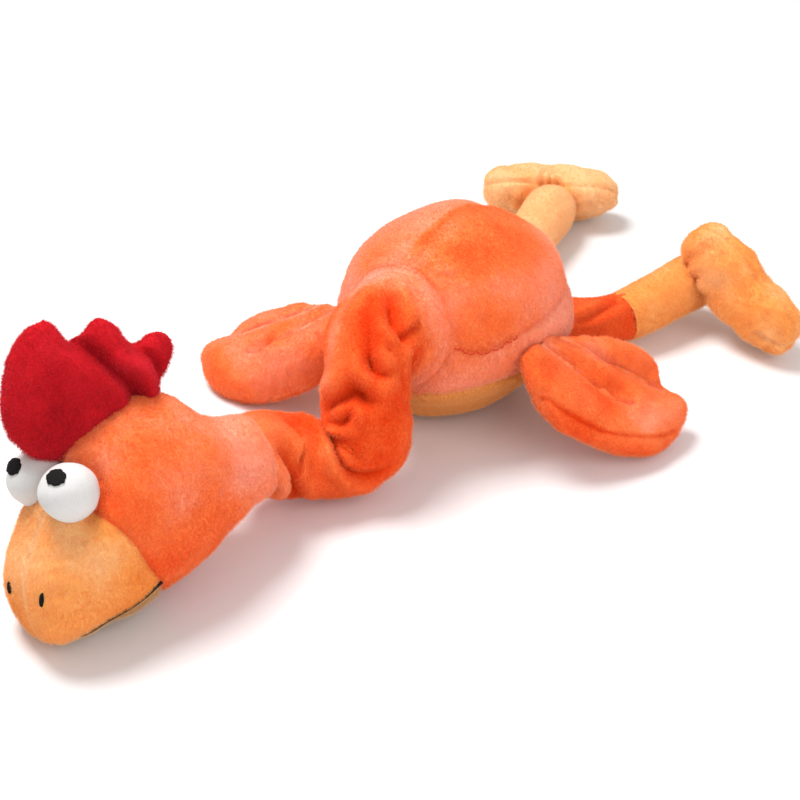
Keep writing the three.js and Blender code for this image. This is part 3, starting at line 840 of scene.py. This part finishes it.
def neck_relief(s, angle):
    """How far the skin of the neck stands off its plain tube: soft bellies, and the creases."""
    soft = 1.0 * np.sin(3 * angle + 9 * s) + 0.7 * np.sin(5 * angle - 14 * s)
    height = soft * smooth((s - 0.14) / 0.1) * smooth((1 - s) / 0.08)
    for fold in NECK_FOLDS:
        line = curve(np.array(fold["line"]) * [NECK_LENGTH, NECK_GIRTH], 16)
        sizes = [fold.get(key, 0.0) for key in ("depth", "width", "ridge", "step")]
        for turn in (-2 * math.pi, 0, 2 * math.pi):
            flat = np.stack([s.ravel() * NECK_LENGTH, (angle.ravel() + turn) * NECK_GIRTH], 1)
            height += folded(flat, line, *sizes).reshape(s.shape)
    round_it = [s * NECK_LENGTH, np.cos(angle) * NECK_GIRTH, np.sin(angle) * NECK_GIRTH]
    flat = np.stack([x.ravel() for x in round_it], 1)
    fine = 0.5 * lumps(flat, 9, SEED + 50) + nap(flat, SEED + 51)
    return height + fine.reshape(s.shape) * smooth((s - 0.05) / 0.1) - PILE_DEPTH


def build_neck():
    """The rings of the neck and how pale its colour is at each point: deepest in the creases, as painted
    shade, and paler on the ridges, as painted light.
    """
    s, angle = ring_grid(NECK_RINGS, NECK_AROUND)
    relief = neck_relief(s, angle)
    rows = tube(curve(NECK_PATH, NECK_RINGS), relief, start_axis=YOKE_AXIS, end_axis=-HEAD_AXES[1])
    lean = np.interp(s, [0, 0.12, 0.19, 0.28, 0.85, 0.92, 1], [0.62, 0.8, 0.65, 0.14, 0.12, 0.4, 0.7])
    right_side = np.exp(-((angle - 5.5) / 0.4) ** 2)
    lean += 0.5 * right_side * smooth((s - 0.05) / 0.1) * smooth((0.5 - s) / 0.1)
    # Painted shade in the creases and painted light on the ridges: the colour follows the relief.
    return rows, lean + np.clip(0.045 * relief, -0.3, 0.25)


neck_rows, neck_lean = build_neck()
# Each piece spans one joint: its bodies, its first and last share of the neck, the way it runs through its
# bend, and the CAD nodes it stands for.
NECK_PIECES = [
    ("neck_yoke_cover", "body", "neck_upper", 0.0, 0.38, [0.14, -0.98, -0.14], ("neck_yoke",)),
    ("neck_upper_cover", "neck_upper", "neck_middle", 0.38, 0.66, [-0.25, -0.47, -0.85],
     ("neck_upper_skin", "neck_upper_wadding")),
    ("neck_middle_cover", "neck_middle", "neck_lower", 0.66, 0.82, [-0.44, -0.89, 0.1],
     ("neck_middle_skin", "neck_middle_wadding")),
    ("neck_lower_cover", "neck_lower", "head", 0.82, 1.0, [-0.28, -0.89, 0.36],
     ("neck_lower_skin", "neck_lower_wadding")),
]
for name, above, below, start, end, way, stands_for in NECK_PIECES:
    first, last = (int(round(x * (len(neck_rows) - 1))) for x in (start, end))
    points, faces = loft(neck_rows[first:last + 1])
    lean = neck_lean[first:last + 1].ravel()
    # The bend is put between the whole first ring and the whole last ring.
    way = unit(way)
    bend_from, bend_to = (neck_rows[first] @ way).max() * way, (neck_rows[last] @ way).min() * way
    slot = "orange_plush" if above == "body" else "neck_plush"
    bending(above, below, bend_from, bend_to, name, *shell(points, triangles(faces)), slot, *stands_for,
            fill=0.2, outer=len(points), lean=lean)


# ---------- head ----------

# The head in its own frame, from the beak's tip to the neck: y, z of its top and of its bottom, half width.
HEAD_SECTIONS = [
    [-68, -27, -66, -41, 10], [-67, -18, -61, -48, 21], [-63, -8, -51, -50.5, 28], [-55, 4, -37, -50, 32],
    [-46, 16, -23, -49, 33.5], [-37, 28, -9, -47.5, 34.7], [-25, 38, 3, -44.5, 35], [-8, 46, 13, -41, 35],
    [10, 48, 23, -37.5, 34], [24, 42.5, 32, -33.5, 32], [34, 32, 41, -29, 29.5], [43, 23.5, 49, -25.5, 26.5],
    [54, 19, 57, -24, 24], [66, 18, 66, -23, 21.5],
]
# The line between beak and cheek in side view.
BEAK_SEAM = [
    [-62, 46], [-41, 22], [-32.5, 12], [-24.5, 2], [-19, -9], [-14.5, -22], [-9, -34], [-5, -46], [-3, -60],
]
# The mouth in side view, from the corner to where it goes under the beak.
MOUTH_LINE = [
    [-7.5, -34], [-15, -36.5], [-24, -39.3], [-34, -41.8], [-43, -44.2], [-49, -47], [-54, -50.5], [-57, -54],
]
BEAK_TWIST = 7.0
EYE_RADIUS = 13.1
EYE_PLACE = {"left": [18.7, -36.6, 20.6], "right": [-10.0, -40.0, 22.2]}


def off_middle_seam(points):
    """How far points lie from the head's middle seam, which the beak's weight has pulled to one side."""
    return points[:, 0] - BEAK_TWIST * smooth((-28 - points[:, 1]) / 16)


def build_head():
    sections = curve(HEAD_SECTIONS, 60)
    angle = np.linspace(0, 2 * math.pi, 72, endpoint=False)
    rows = np.zeros((len(sections), len(angle), 3))
    top, bottom, half = sections[:, 0:2], sections[:, 2:4], sections[:, 4]
    rise, swing = np.cos(angle), np.sin(angle)
    rows[..., 1:] = ((top + bottom) / 2)[:, None] + ((top - bottom) / 2)[:, None] * rise[:, None]
    rows[..., 0] = half[:, None] * np.sign(swing) * np.abs(swing) ** (0.92 + 0.3 * np.maximum(rise, 0))
    points, faces = loft(rows[:, ::-1], True, True)
    beak_line = curve(BEAK_SEAM, 60)
    mouth_line = curve(MOUTH_LINE, 60)

    def pinned(q):
        held = (np.abs(q[:, 0]) < SEAM_HOLD) | (q[:, 1] > NECK_SEAM_Y - 8)
        return held | (near(q[:, 1:], beak_line)[0] < SEAM_HOLD)

    points, tris = stuffed_surface(points, faces, pinned, voxel=4.0, levels=2, cap=1.5, slack=0.02)
    beak, _, side = near(points[:, 1:], beak_line)
    height = nap(points, SEED + 10) + 0.7 * lumps(points, 20, SEED + 12)
    height += groove(beak, 1.2, 1.4) - 0.7 * np.exp(-beak / 5)
    seam = off_middle_seam(points)
    height += groove(seam, 1.0, 1.1) - 0.5 * np.exp(-np.abs(seam) / 4)
    height += groove(points[:, 1] - NECK_SEAM_Y, 1.6, 2.0)
    for centre in EYE_PLACE.values():
        gap = np.maximum(np.linalg.norm(points - centre, axis=1) - EYE_RADIUS, 0)
        height -= 5.5 * np.exp(-((gap / 5.0) ** 2)) * smooth((points[:, 1] - centre[1] + 8) / 12)
    mouth, _, _ = near(points[:, 1:], mouth_line)
    height += np.where(side < 0, groove(mouth, 1.5, 1.3) - 0.6 * np.exp(-mouth / 3), 0)
    points = carved(points, tris, height)
    return points, tris, beak_line, mouth_line


def head_lean(points):
    """Deeper towards the jaw and a little paler on top: painted shade under the head and painted light over
    it. Paler round the neck seam and on the bridge of the beak.
    """
    y, z = points[:, 1], points[:, 2]
    lean = 0.5 + 0.32 * smooth((y - 18) / 30) - 0.25 * smooth((0 - z) / 35) + 0.1 * smooth((z - 30) / 20)
    lean += 0.4 * np.exp(-(off_middle_seam(points) / 1.8) ** 2) * smooth((-30 - y) / 10)
    lean += 0.22 * smooth((-20 - y) / 20)
    return lean + 0.1 * lumps(points, 14, SEED + 71)


head_points, head_tris, beak_line, mouth_line = build_head()
head_open = clip(head_points, head_tris, NECK_SEAM_Y - head_points[:, 1])


def off_line(points, line):
    """Signed distance in side view: positive on the line's right hand."""
    distance, _, side = near(points[:, 1:], line)
    return distance * side


def on_head(side, y, z):
    """The point of the head's left (1) or right (-1) surface at y, z in side view, and the normal there."""
    half = np.flatnonzero(head_points[:, 0] * side > 0)
    k = half[np.argmin((head_points[half, 1] - y) ** 2 + (head_points[half, 2] - z) ** 2)]
    return head_points[k], head_normals[k]


head_normals = normals(head_points, head_tris)
# The nostrils seen from the front: their distance from the seam, and their height.
NOSTRIL = [13.5, -20.5]


def mouth_path():
    """Where the mouth's thread lies on the head: from its left corner, under the beak, to its right one."""
    path = []
    for side in (1, -1):
        half = [on_head(side, y, z) for y, z in curve(MOUTH_LINE, 40)[:-4]]
        path += [point + 0.7 * normal for point, normal in half][::side]
    for _ in range(8):
        path[1:-1] = [(path[k - 1] + 2 * path[k] + path[k + 1]) / 4 for k in range(1, len(path) - 1)]
    return curve(path, 240)


lip = mouth_path()
nostrils = {}
for side, x in (("left", NOSTRIL[0]), ("right", -NOSTRIL[0])):
    off = np.hypot(off_middle_seam(head_points) - x, head_points[:, 2] - NOSTRIL[1])
    off[head_points[:, 1] > -40] = np.inf
    nostrils[side] = head_points[np.argmin(off)], head_normals[np.argmin(off)]


def sewn_to_head(name, part, slot, *stands_for):
    """A piece of the head's surface. It is bald beside the mouth and under the nostrils."""
    points, tris = part
    bald = near(points, lip)[0] < 1.9
    for middle, _ in nostrils.values():
        bald |= np.linalg.norm((points - middle) * [1, 1, 0.55], axis=1) < 2.2
    row_points = pressed(place(points, HEAD_CENTRE, HEAD_AXES))
    riding("head", name, *shell(row_points, tris), slot, *stands_for, fill=0.85,
           outer=len(points), lean=head_lean(points), bare=np.flatnonzero(bald))


cheeks = clip(*head_open, off_line(head_open[0], beak_line))
beak = clip(*head_open, -off_line(head_open[0], beak_line))
sewn_to_head("head_cover", cheeks, "orange_plush", "head_panel_left", "head_panel_right", "head_wadding")
sewn_to_head("beak_cover", clip(*beak, -off_line(beak[0], mouth_line)), "gold_plush", "upper_beak_left",
             "upper_beak_right")
sewn_to_head("lower_beak_cover", clip(*beak, off_line(beak[0], mouth_line)), "tan_plush", "lower_beak")

mouth_stitch = thread(pressed(place(lip, HEAD_CENTRE, HEAD_AXES)), 0.75)
riding("head", "mouth_stitch", *mouth_stitch, "black_thread", "mouth_thread")


def on_the_head(name, points, faces, slot, node, fill=None):
    """A small piece that sits on the head, from points in the head's frame."""
    riding("head", name, place(points, HEAD_CENTRE, HEAD_AXES), faces, slot, node, fill=fill)


for side, (point, normal) in nostrils.items():
    across = unit(np.cross(normal, [0.15, 0.0, 1.0]))
    points, faces = ball(1.0, [0, 0, 0], 20)
    ribs = 1 + 0.12 * np.sin(points[:, 2] * 14)
    points = points * [1.0, 3.1, 0.9] * ribs[:, None]
    points = point + 0.6 * normal + points @ np.array([across, np.cross(normal, across), normal])
    on_the_head(f"nostril_{side}_stitch", points, faces, "black_thread", f"nostril_{side}")


# Each pupil looks its own way: direction from the eye's middle in the head frame.
PUPIL_LOOK = {"left": [0.44, -0.46, 0.9], "right": [0.18, -0.82, 0.9]}
PUPIL_SIZE = [4.9, 4.0]
# Profile of a pupil: share of its half width, and height over the eye.
SATIN_DOME = [[1.0, -0.8], [1.04, 0.2], [0.98, 0.75], [0.85, 1.05], [0.6, 1.2], [0.35, 1.25], [0.12, 1.27]]


def satin_oval(centre, look):
    """A thick oval of satin stitch on an eye."""
    out = unit(look)
    wide = unit(np.cross(out, [0.25, 0.0, 1.0]))
    high = np.cross(out, wide)
    ring = np.linspace(0, 2 * math.pi, 40, endpoint=False)
    ragged = 1 + 0.05 * np.sin(7 * ring) + 0.04 * np.sin(11 * ring + 1)
    rows = []
    for reach, lift in SATIN_DOME:
        a = PUPIL_SIZE[0] * reach * ragged * np.cos(ring)
        b = PUPIL_SIZE[1] * reach * ragged * np.sin(ring)
        ribs = 0.1 * np.sin(a * 9.0) * (lift > 0)
        on_eye = unit(out * EYE_RADIUS + a[:, None] * wide + b[:, None] * high)
        rows.append(centre + on_eye * (EYE_RADIUS + lift + ribs)[:, None])
    return loft(np.array(rows), True, True)


for side, centre in EYE_PLACE.items():
    centre = np.array(centre)
    points, faces = ball(EYE_RADIUS, centre)
    knit = 0.12 * lumps(points, 3.0, SEED + 60) + 0.25 * lumps(points, 9.0, SEED + 61)
    points = carved(points, triangles(faces), knit + PILE_DEPTH)
    on_the_head(f"eye_{side}_cover", points, faces, "eye_knit", f"eye_{side}", fill=0.9)
    satin = satin_oval(centre, PUPIL_LOOK[side])
    on_the_head(f"pupil_{side}_stitch", *satin, "black_thread", f"pupil_{side}")

# ---------- comb ----------

COMB_OUTLINE = [
    [25, 40], [28, 47], [36, 55], [38, 65], [29, 71.5], [18, 69], [11, 83], [2, 88], [-6, 81], [-12, 79],
    [-18, 93], [-35, 88], [-46.5, 70], [-50, 49], [-40, 32], [-24, 28], [0, 34],
]


# The comb buckles between its first lobe and the other two: valleys and a ridge, in side view.
COMB_FOLDS = [
    {"line": [[-8, 77], [2, 62], [8, 52], [9, 42]], "depth": 7.0, "width": 4.0},
    {"line": [[4, 66], [14, 58], [17, 46]], "depth": -4.0, "width": 3.5},
    {"line": [[16, 68], [23, 58], [25, 46]], "depth": 4.0, "width": 3.2},
]


def build_comb():
    points, faces = pad(COMB_OUTLINE, 12)
    points = points[:, [2, 0, 1]]

    def on_head_seam(q):
        return q[:, 2] < 42

    points, tris = stuffed_surface(points, faces, on_head_seam, cap=1.5, slack=0.04)
    points = carved(points, tris, nap(points, SEED + 20))
    buckle = np.zeros(len(points))
    for fold in COMB_FOLDS:
        distance, _, _ = near(points[:, 1:], curve(fold["line"], 20))
        buckle -= fold["depth"] * np.exp(-((distance / fold["width"]) ** 2))
    points[:, 0] += buckle * np.where(points[:, 0] > 0, 1.0, 0.55)
    points[:, 0] -= 2.5 * smooth((-10 - points[:, 1]) / 20) + 2.0 * smooth((points[:, 1] - 12) / 10)
    # Painted shade and light: deeper in the buckle's valleys and paler on its ridge.
    lean = 0.5 + 0.04 * buckle + 0.12 * lumps(points, 12, SEED + 72)
    return points, tris, lean


comb_points, comb_tris, comb_lean = build_comb()
# Two points on the head, from the comb's seam upwards.
comb_bend = place([[0, -4, 42], [0, -4, 60]], HEAD_CENTRE, HEAD_AXES)
bending("head", "comb", *comb_bend, "comb_cover", place(comb_points, HEAD_CENTRE, HEAD_AXES), comb_tris,
        "red_plush", "comb_panel_left", "comb_panel_right", "comb_wadding", fill=0.75, lean=comb_lean)

# ---------- wings ----------

WING_OUTLINE = [
    [-6, 4], [4, 19], [30, 32], [48, 35], [62, 35], [76, 32], [83, 22], [93, 18], [99, 10], [95, -2],
    [89, -13], [76, -22.5], [58, -26.5], [36, -27.5], [18, -25], [5, -16.5], [-5, -4],
]
WING_QUILTING = [
    [[-2, 16], [10, 12], [28, 7], [44, 3], [60, 1]],
    [[16, 22], [38, 20], [57, 19], [80, 18]],
]


# Where front and back piece are sewn together: on the front, inside the lower edge.
WING_RIM_SEAM = [[8, -17], [20, -20.5], [36, -22], [50, -21], [66, -17], [82, -10.5], [90, -4]]


def build_wing(side):
    wing = WINGS[side]
    axes = frame_at(wing["root"], wing["tip"], wing["upper"])
    points, faces = pad(WING_OUTLINE, 9.5, below=1.1, quilting=WING_QUILTING)
    lines = [curve(line, 24) for line in WING_QUILTING]
    rim_seam = curve(WING_RIM_SEAM, 30)

    def pinned(q):
        held = q[:, 0] < 2
        for line in lines:
            held |= near(q[:, :2], line)[0] < 1.6
        return held

    points, tris = stuffed_surface(points, faces, pinned, cap=2.0, slack=0.05)
    front = points[:, 2] > 0
    height = nap(points, SEED + 30) + 0.5 * lumps(points, 14, SEED + 31)
    lean = 0.42 + wing["pale"] + 0.12 * lumps(points, 15, SEED + 73)
    for line in lines:
        height += sewn(points[:, :2], line, depth=2.2, width=1.6, dip=1.2, seed=3, pitch=6.0)
        beside, _, _ = near(points[:, :2], line)
        lean += 0.22 * np.exp(-((beside / 2.5) ** 2))
    seam, _, _ = near(points[:, :2], rim_seam)
    height += np.where(front, groove(seam, 1.1, 1.1) - 0.6 * np.exp(-seam / 4), 0)
    # Painted shade: the front is deeper along its lower edge, underneath, and in the groove of the rim seam.
    lean -= front * (0.16 * smooth((-18 - points[:, 1]) / 5) + 0.3 * np.exp(-((seam / 1.2) ** 2)))
    points = carved(points, tris, height)
    points[:, 2] += wing["droop"] * points[:, 1] ** 2
    points[:, 0] *= wing["reach"]
    name = f"wing_{side}"
    nodes = (f"{name}_{part}" for part in ("panel_front", "panel_back", "wadding"))
    root = np.array(wing["root"], float)
    bending("body", name, root - 6 * axes[0], root + 8 * axes[0], f"{name}_cover",
            pressed(place(points, root, axes)), tris, "orange_plush", *nodes, fill=0.6, lean=lean)


for side in WINGS:
    build_wing(side)

# ---------- legs ----------

# Heel, waist and two toes, from heel to toe.
FOOT_OUTLINE = [
    [-2, 0], [2, 12], [15, 21], [31, 20.5], [44, 19.5], [58, 21.5], [71, 19.5], [80, 14], [86, 7], [85, 1],
    [88, -5], [81, -15], [69, -19], [58, -18], [48, -17], [36, -20], [15, -21], [2, -12],
]
TOE_CLEFT = [[92, 1], [80, 0], [70, -1]]
THIGH_RINGS, SHANK_RINGS, LEG_AROUND = 60, 80, 90
# The legs laid flat: their lengths, and mm round them for each radian.
THIGH_LENGTH, SHANK_LENGTH, LEG_GIRTH = 55, 62, 13.0
THIGH_FOLDS = [[[20, 78], [34, 66], [46, 52]], [[46, 52], [38, 44], [24, 34]], [[26, 12], [38, 20]]]


def thigh_relief(s, angle):
    """Soft bellies and three creases, all fading out at both ends."""
    flat = np.stack([s.ravel() * THIGH_LENGTH, angle.ravel() * LEG_GIRTH], 1)
    height = 0.8 * np.sin(3 * angle + 8 * s)
    for line in THIGH_FOLDS:
        height += folded(flat, curve(line, 12), depth=3.2, width=2.0, ridge=1.4).reshape(s.shape)
    return height * np.sin(math.pi * s) ** 0.5 - PILE_DEPTH


def shank_relief(s, angle):
    """Soft lumps, and gathers where the foot is sewn on."""
    around = [s * SHANK_LENGTH, np.cos(angle) * LEG_GIRTH, np.sin(angle) * LEG_GIRTH]
    flat = np.stack([x.ravel() for x in around], 1)
    gathers = 0.7 * np.sin(9 * angle) * smooth((s - 0.8) / 0.2)
    soft = 0.5 * lumps(flat, 14, SEED + 42) + nap(flat, SEED + 41)
    return soft.reshape(s.shape) + gathers - PILE_DEPTH


def leg_tubes(leg):
    """The rings of thigh and shank. The thigh's hem goes into the shank's."""
    inward = unit(leg["hip"] - leg["knee"])
    down = unit(leg["ankle"] - leg["knee"])
    start, hem = leg["hip"] + 8 * inward, leg["knee"] + 3 * down
    end = leg["ankle"] + leg["tuck"] * down
    middle = leg["hip"] * 0.5 + leg["knee"] * 0.5
    calf = leg["knee"] * 0.6 + leg["ankle"] * 0.4
    shin = leg["knee"] * 0.2 + leg["ankle"] * 0.8
    thigh_line = [[*start, 11], [*leg["hip"], 12.5], [*middle, 12.5], [*leg["knee"], 12.9], [*hem, 12.5]]
    thigh_path = curve(thigh_line, THIGH_RINGS)
    tip = end + 7 * down
    shank_line = [[*leg["knee"], 14.6], [*calf, 15.6], [*shin, 16.2], [*end, 15.2], [*tip, 7.0]]
    shank_path = curve(shank_line, SHANK_RINGS)
    shank_path[:, :3] += leg["bow"] * np.sin(np.linspace(0, math.pi, SHANK_RINGS))[:, None]
    thigh = tube(thigh_path, thigh_relief(*ring_grid(THIGH_RINGS, LEG_AROUND)))
    shank = tube(shank_path, shank_relief(*ring_grid(SHANK_RINGS, LEG_AROUND)))
    return thigh, shank, down


def build_foot(side, leg, ankle_axis):
    foot_axis = unit(leg["toe"] - leg["heel"])
    across = unit(np.cross(ankle_axis, foot_axis))
    across = across * math.cos(leg["roll"]) + np.cross(foot_axis, across) * math.sin(leg["roll"])
    margin = (FOOT_LENGTH - np.linalg.norm(leg["toe"] - leg["heel"])) / 2
    origin = leg["heel"] - foot_axis * margin
    axes = frame_at(origin, leg["toe"], origin + across)
    points, faces = pad(FOOT_OUTLINE, 17)

    def on_rim(q):
        return np.abs(q[:, 2]) < 1.5

    points, tris = stuffed_surface(points, faces, on_rim, cap=2.0, slack=0.05)
    ankle = (leg["ankle"] - origin) @ axes.T
    to_ankle = points - [ankle[0], ankle[1] + 8 * math.sin(leg["roll"]), -14]
    round_ankle = np.arctan2(to_ankle[:, 1], to_ankle[:, 0])
    off_ankle = np.linalg.norm(to_ankle, axis=1)
    cleft, _, _ = near(points[:, :2], curve(TOE_CLEFT, 12))
    height = nap(points, SEED + 40) + 0.9 * lumps(points, 13, SEED + 43)
    height += groove(points[:, 2], 0.9, 1.2) - 0.5 * np.exp(-np.abs(points[:, 2]) / 4)
    height += groove(cleft, 2.6, 1.8)
    height += 1.2 * np.sin(11 * round_ankle) * np.exp(-((off_ankle - 19) / 6) ** 2)
    height -= 2.0 * np.exp(-((off_ankle - 16) / 3) ** 2)
    # Painted shade: deeper in the groove round the ankle, where the shank is sewn on.
    lean = 0.5 + 0.12 * lumps(points, 12, SEED + 74) - 0.3 * np.exp(-((off_ankle - 16) / 4) ** 2)
    lean += 0.25 * np.exp(-(cleft / 1.5) ** 2)
    points = pressed(place(carved(points, tris, height), origin, axes))
    nodes = (f"foot_{side}_{part}" for part in ("sole", "upper", "wadding"))
    riding(f"foot_{side}", f"foot_{side}_cover", points, tris, "gold_plush", *nodes, fill=0.8,
           lean=lean + leg["pale"])


def build_leg(side):
    leg = {key: np.array(value, float) for key, value in LEGS[side].items()}
    thigh_rows, shank_rows, down = leg_tubes(leg)
    hip = (leg["hip"], 8 * unit(leg["knee"] - leg["hip"]), "body", f"thigh_{side}")
    knee = (leg["knee"], 10 * down, f"thigh_{side}", f"shank_{side}")
    ankle = (leg["ankle"], 8 * down, f"shank_{side}", f"foot_{side}")
    thigh_half, shank_half = THIGH_RINGS // 2, SHANK_RINGS // 2
    pieces = [
        (f"thigh_{side}_top", thigh_rows[:thigh_half + 1], hip, "neck_plush", ()),
        (f"thigh_{side}_end", thigh_rows[thigh_half:], knee, "neck_plush", ("skin", "wadding")),
        (f"shank_{side}_top", shank_rows[:shank_half + 1], knee, "gold_plush", ("skin", "wadding")),
        (f"shank_{side}_end", shank_rows[shank_half:], ankle, "gold_plush", ()),
    ]
    for name, rows, (joint, span, above, below), slot, parts in pieces:
        points, faces = loft(rows, cap_end=rows is pieces[-1][1])
        lean = 0.2 if slot == "neck_plush" else 0.45 + leg["pale"]
        limb = name.rsplit("_", 1)[0]
        bending(above, below, joint - span, joint + span, name, *shell(points, triangles(faces)), slot,
                *(f"{limb}_{part}" for part in parts), fill=0.3 if slot == "neck_plush" else 0.7,
                outer=len(points), lean=lean)
    build_foot(side, leg, down)


for side in LEGS:
    build_leg(side)


for obj, slot in plush_pieces:
    grow_pile(obj, slot)


# ---------- studio ----------

def look(obj, place_at, target):
    obj.location = place_at
    obj.rotation_mode = "QUATERNION"
    obj.rotation_quaternion = (Vector(target) - Vector(place_at)).to_track_quat("-Z", "Y")


def softbox(name, place_at, target, size, power):
    light = bpy.data.lights.new(name, "AREA")
    light.shape = "DISK"
    light.size = size
    light.energy = power
    obj = bpy.data.objects.new(name, light)
    bpy.context.scene.collection.objects.link(obj)
    look(obj, place_at, target)


FLOOR_HALF = 3000
corners = [[x * FLOOR_HALF, y * FLOOR_HALF, 0] for x, y in ((-1, -1), (1, -1), (1, 1), (-1, 1))]
floor = make("floor", corners, [(0, 1, 2, 3)])
paper = [(0.92, 0.92, 0.92), (0.93, 0.93, 0.93), (0.94, 0.94, 0.94)]
floor.data.materials.append(cloth_material("floor", paper, grain=0.01, bump=0.0, sheen=0.0))

CAMERA_ANGLE = math.radians(28)
CAMERA_PLACE = (0.42856, -0.58900, 0.50611)
CAMERA_TARGET = (-0.0204, -0.02255, 0)
camera_data = bpy.data.cameras.new("camera")
camera_data.angle = CAMERA_ANGLE
camera = bpy.data.objects.new("camera", camera_data)
bpy.context.scene.collection.objects.link(camera)
look(camera, CAMERA_PLACE, CAMERA_TARGET)
bpy.context.scene.camera = camera

LIGHT_TARGET = (-0.02, -0.05, 0.04)
softbox("key", (-0.45, -0.1, 1.1), LIGHT_TARGET, size=0.6, power=14.0)
softbox("fill", (0.9, -0.3, 0.7), LIGHT_TARGET, size=0.9, power=4.0)

world = bpy.data.worlds.new("studio")
world.use_nodes = True
world.node_tree.nodes["Background"].inputs["Color"].default_value = (1, 1, 1, 1)
world.node_tree.nodes["Background"].inputs["Strength"].default_value = 0.5
bpy.context.scene.world = world
bpy.context.scene.view_settings.view_transform = "Standard"
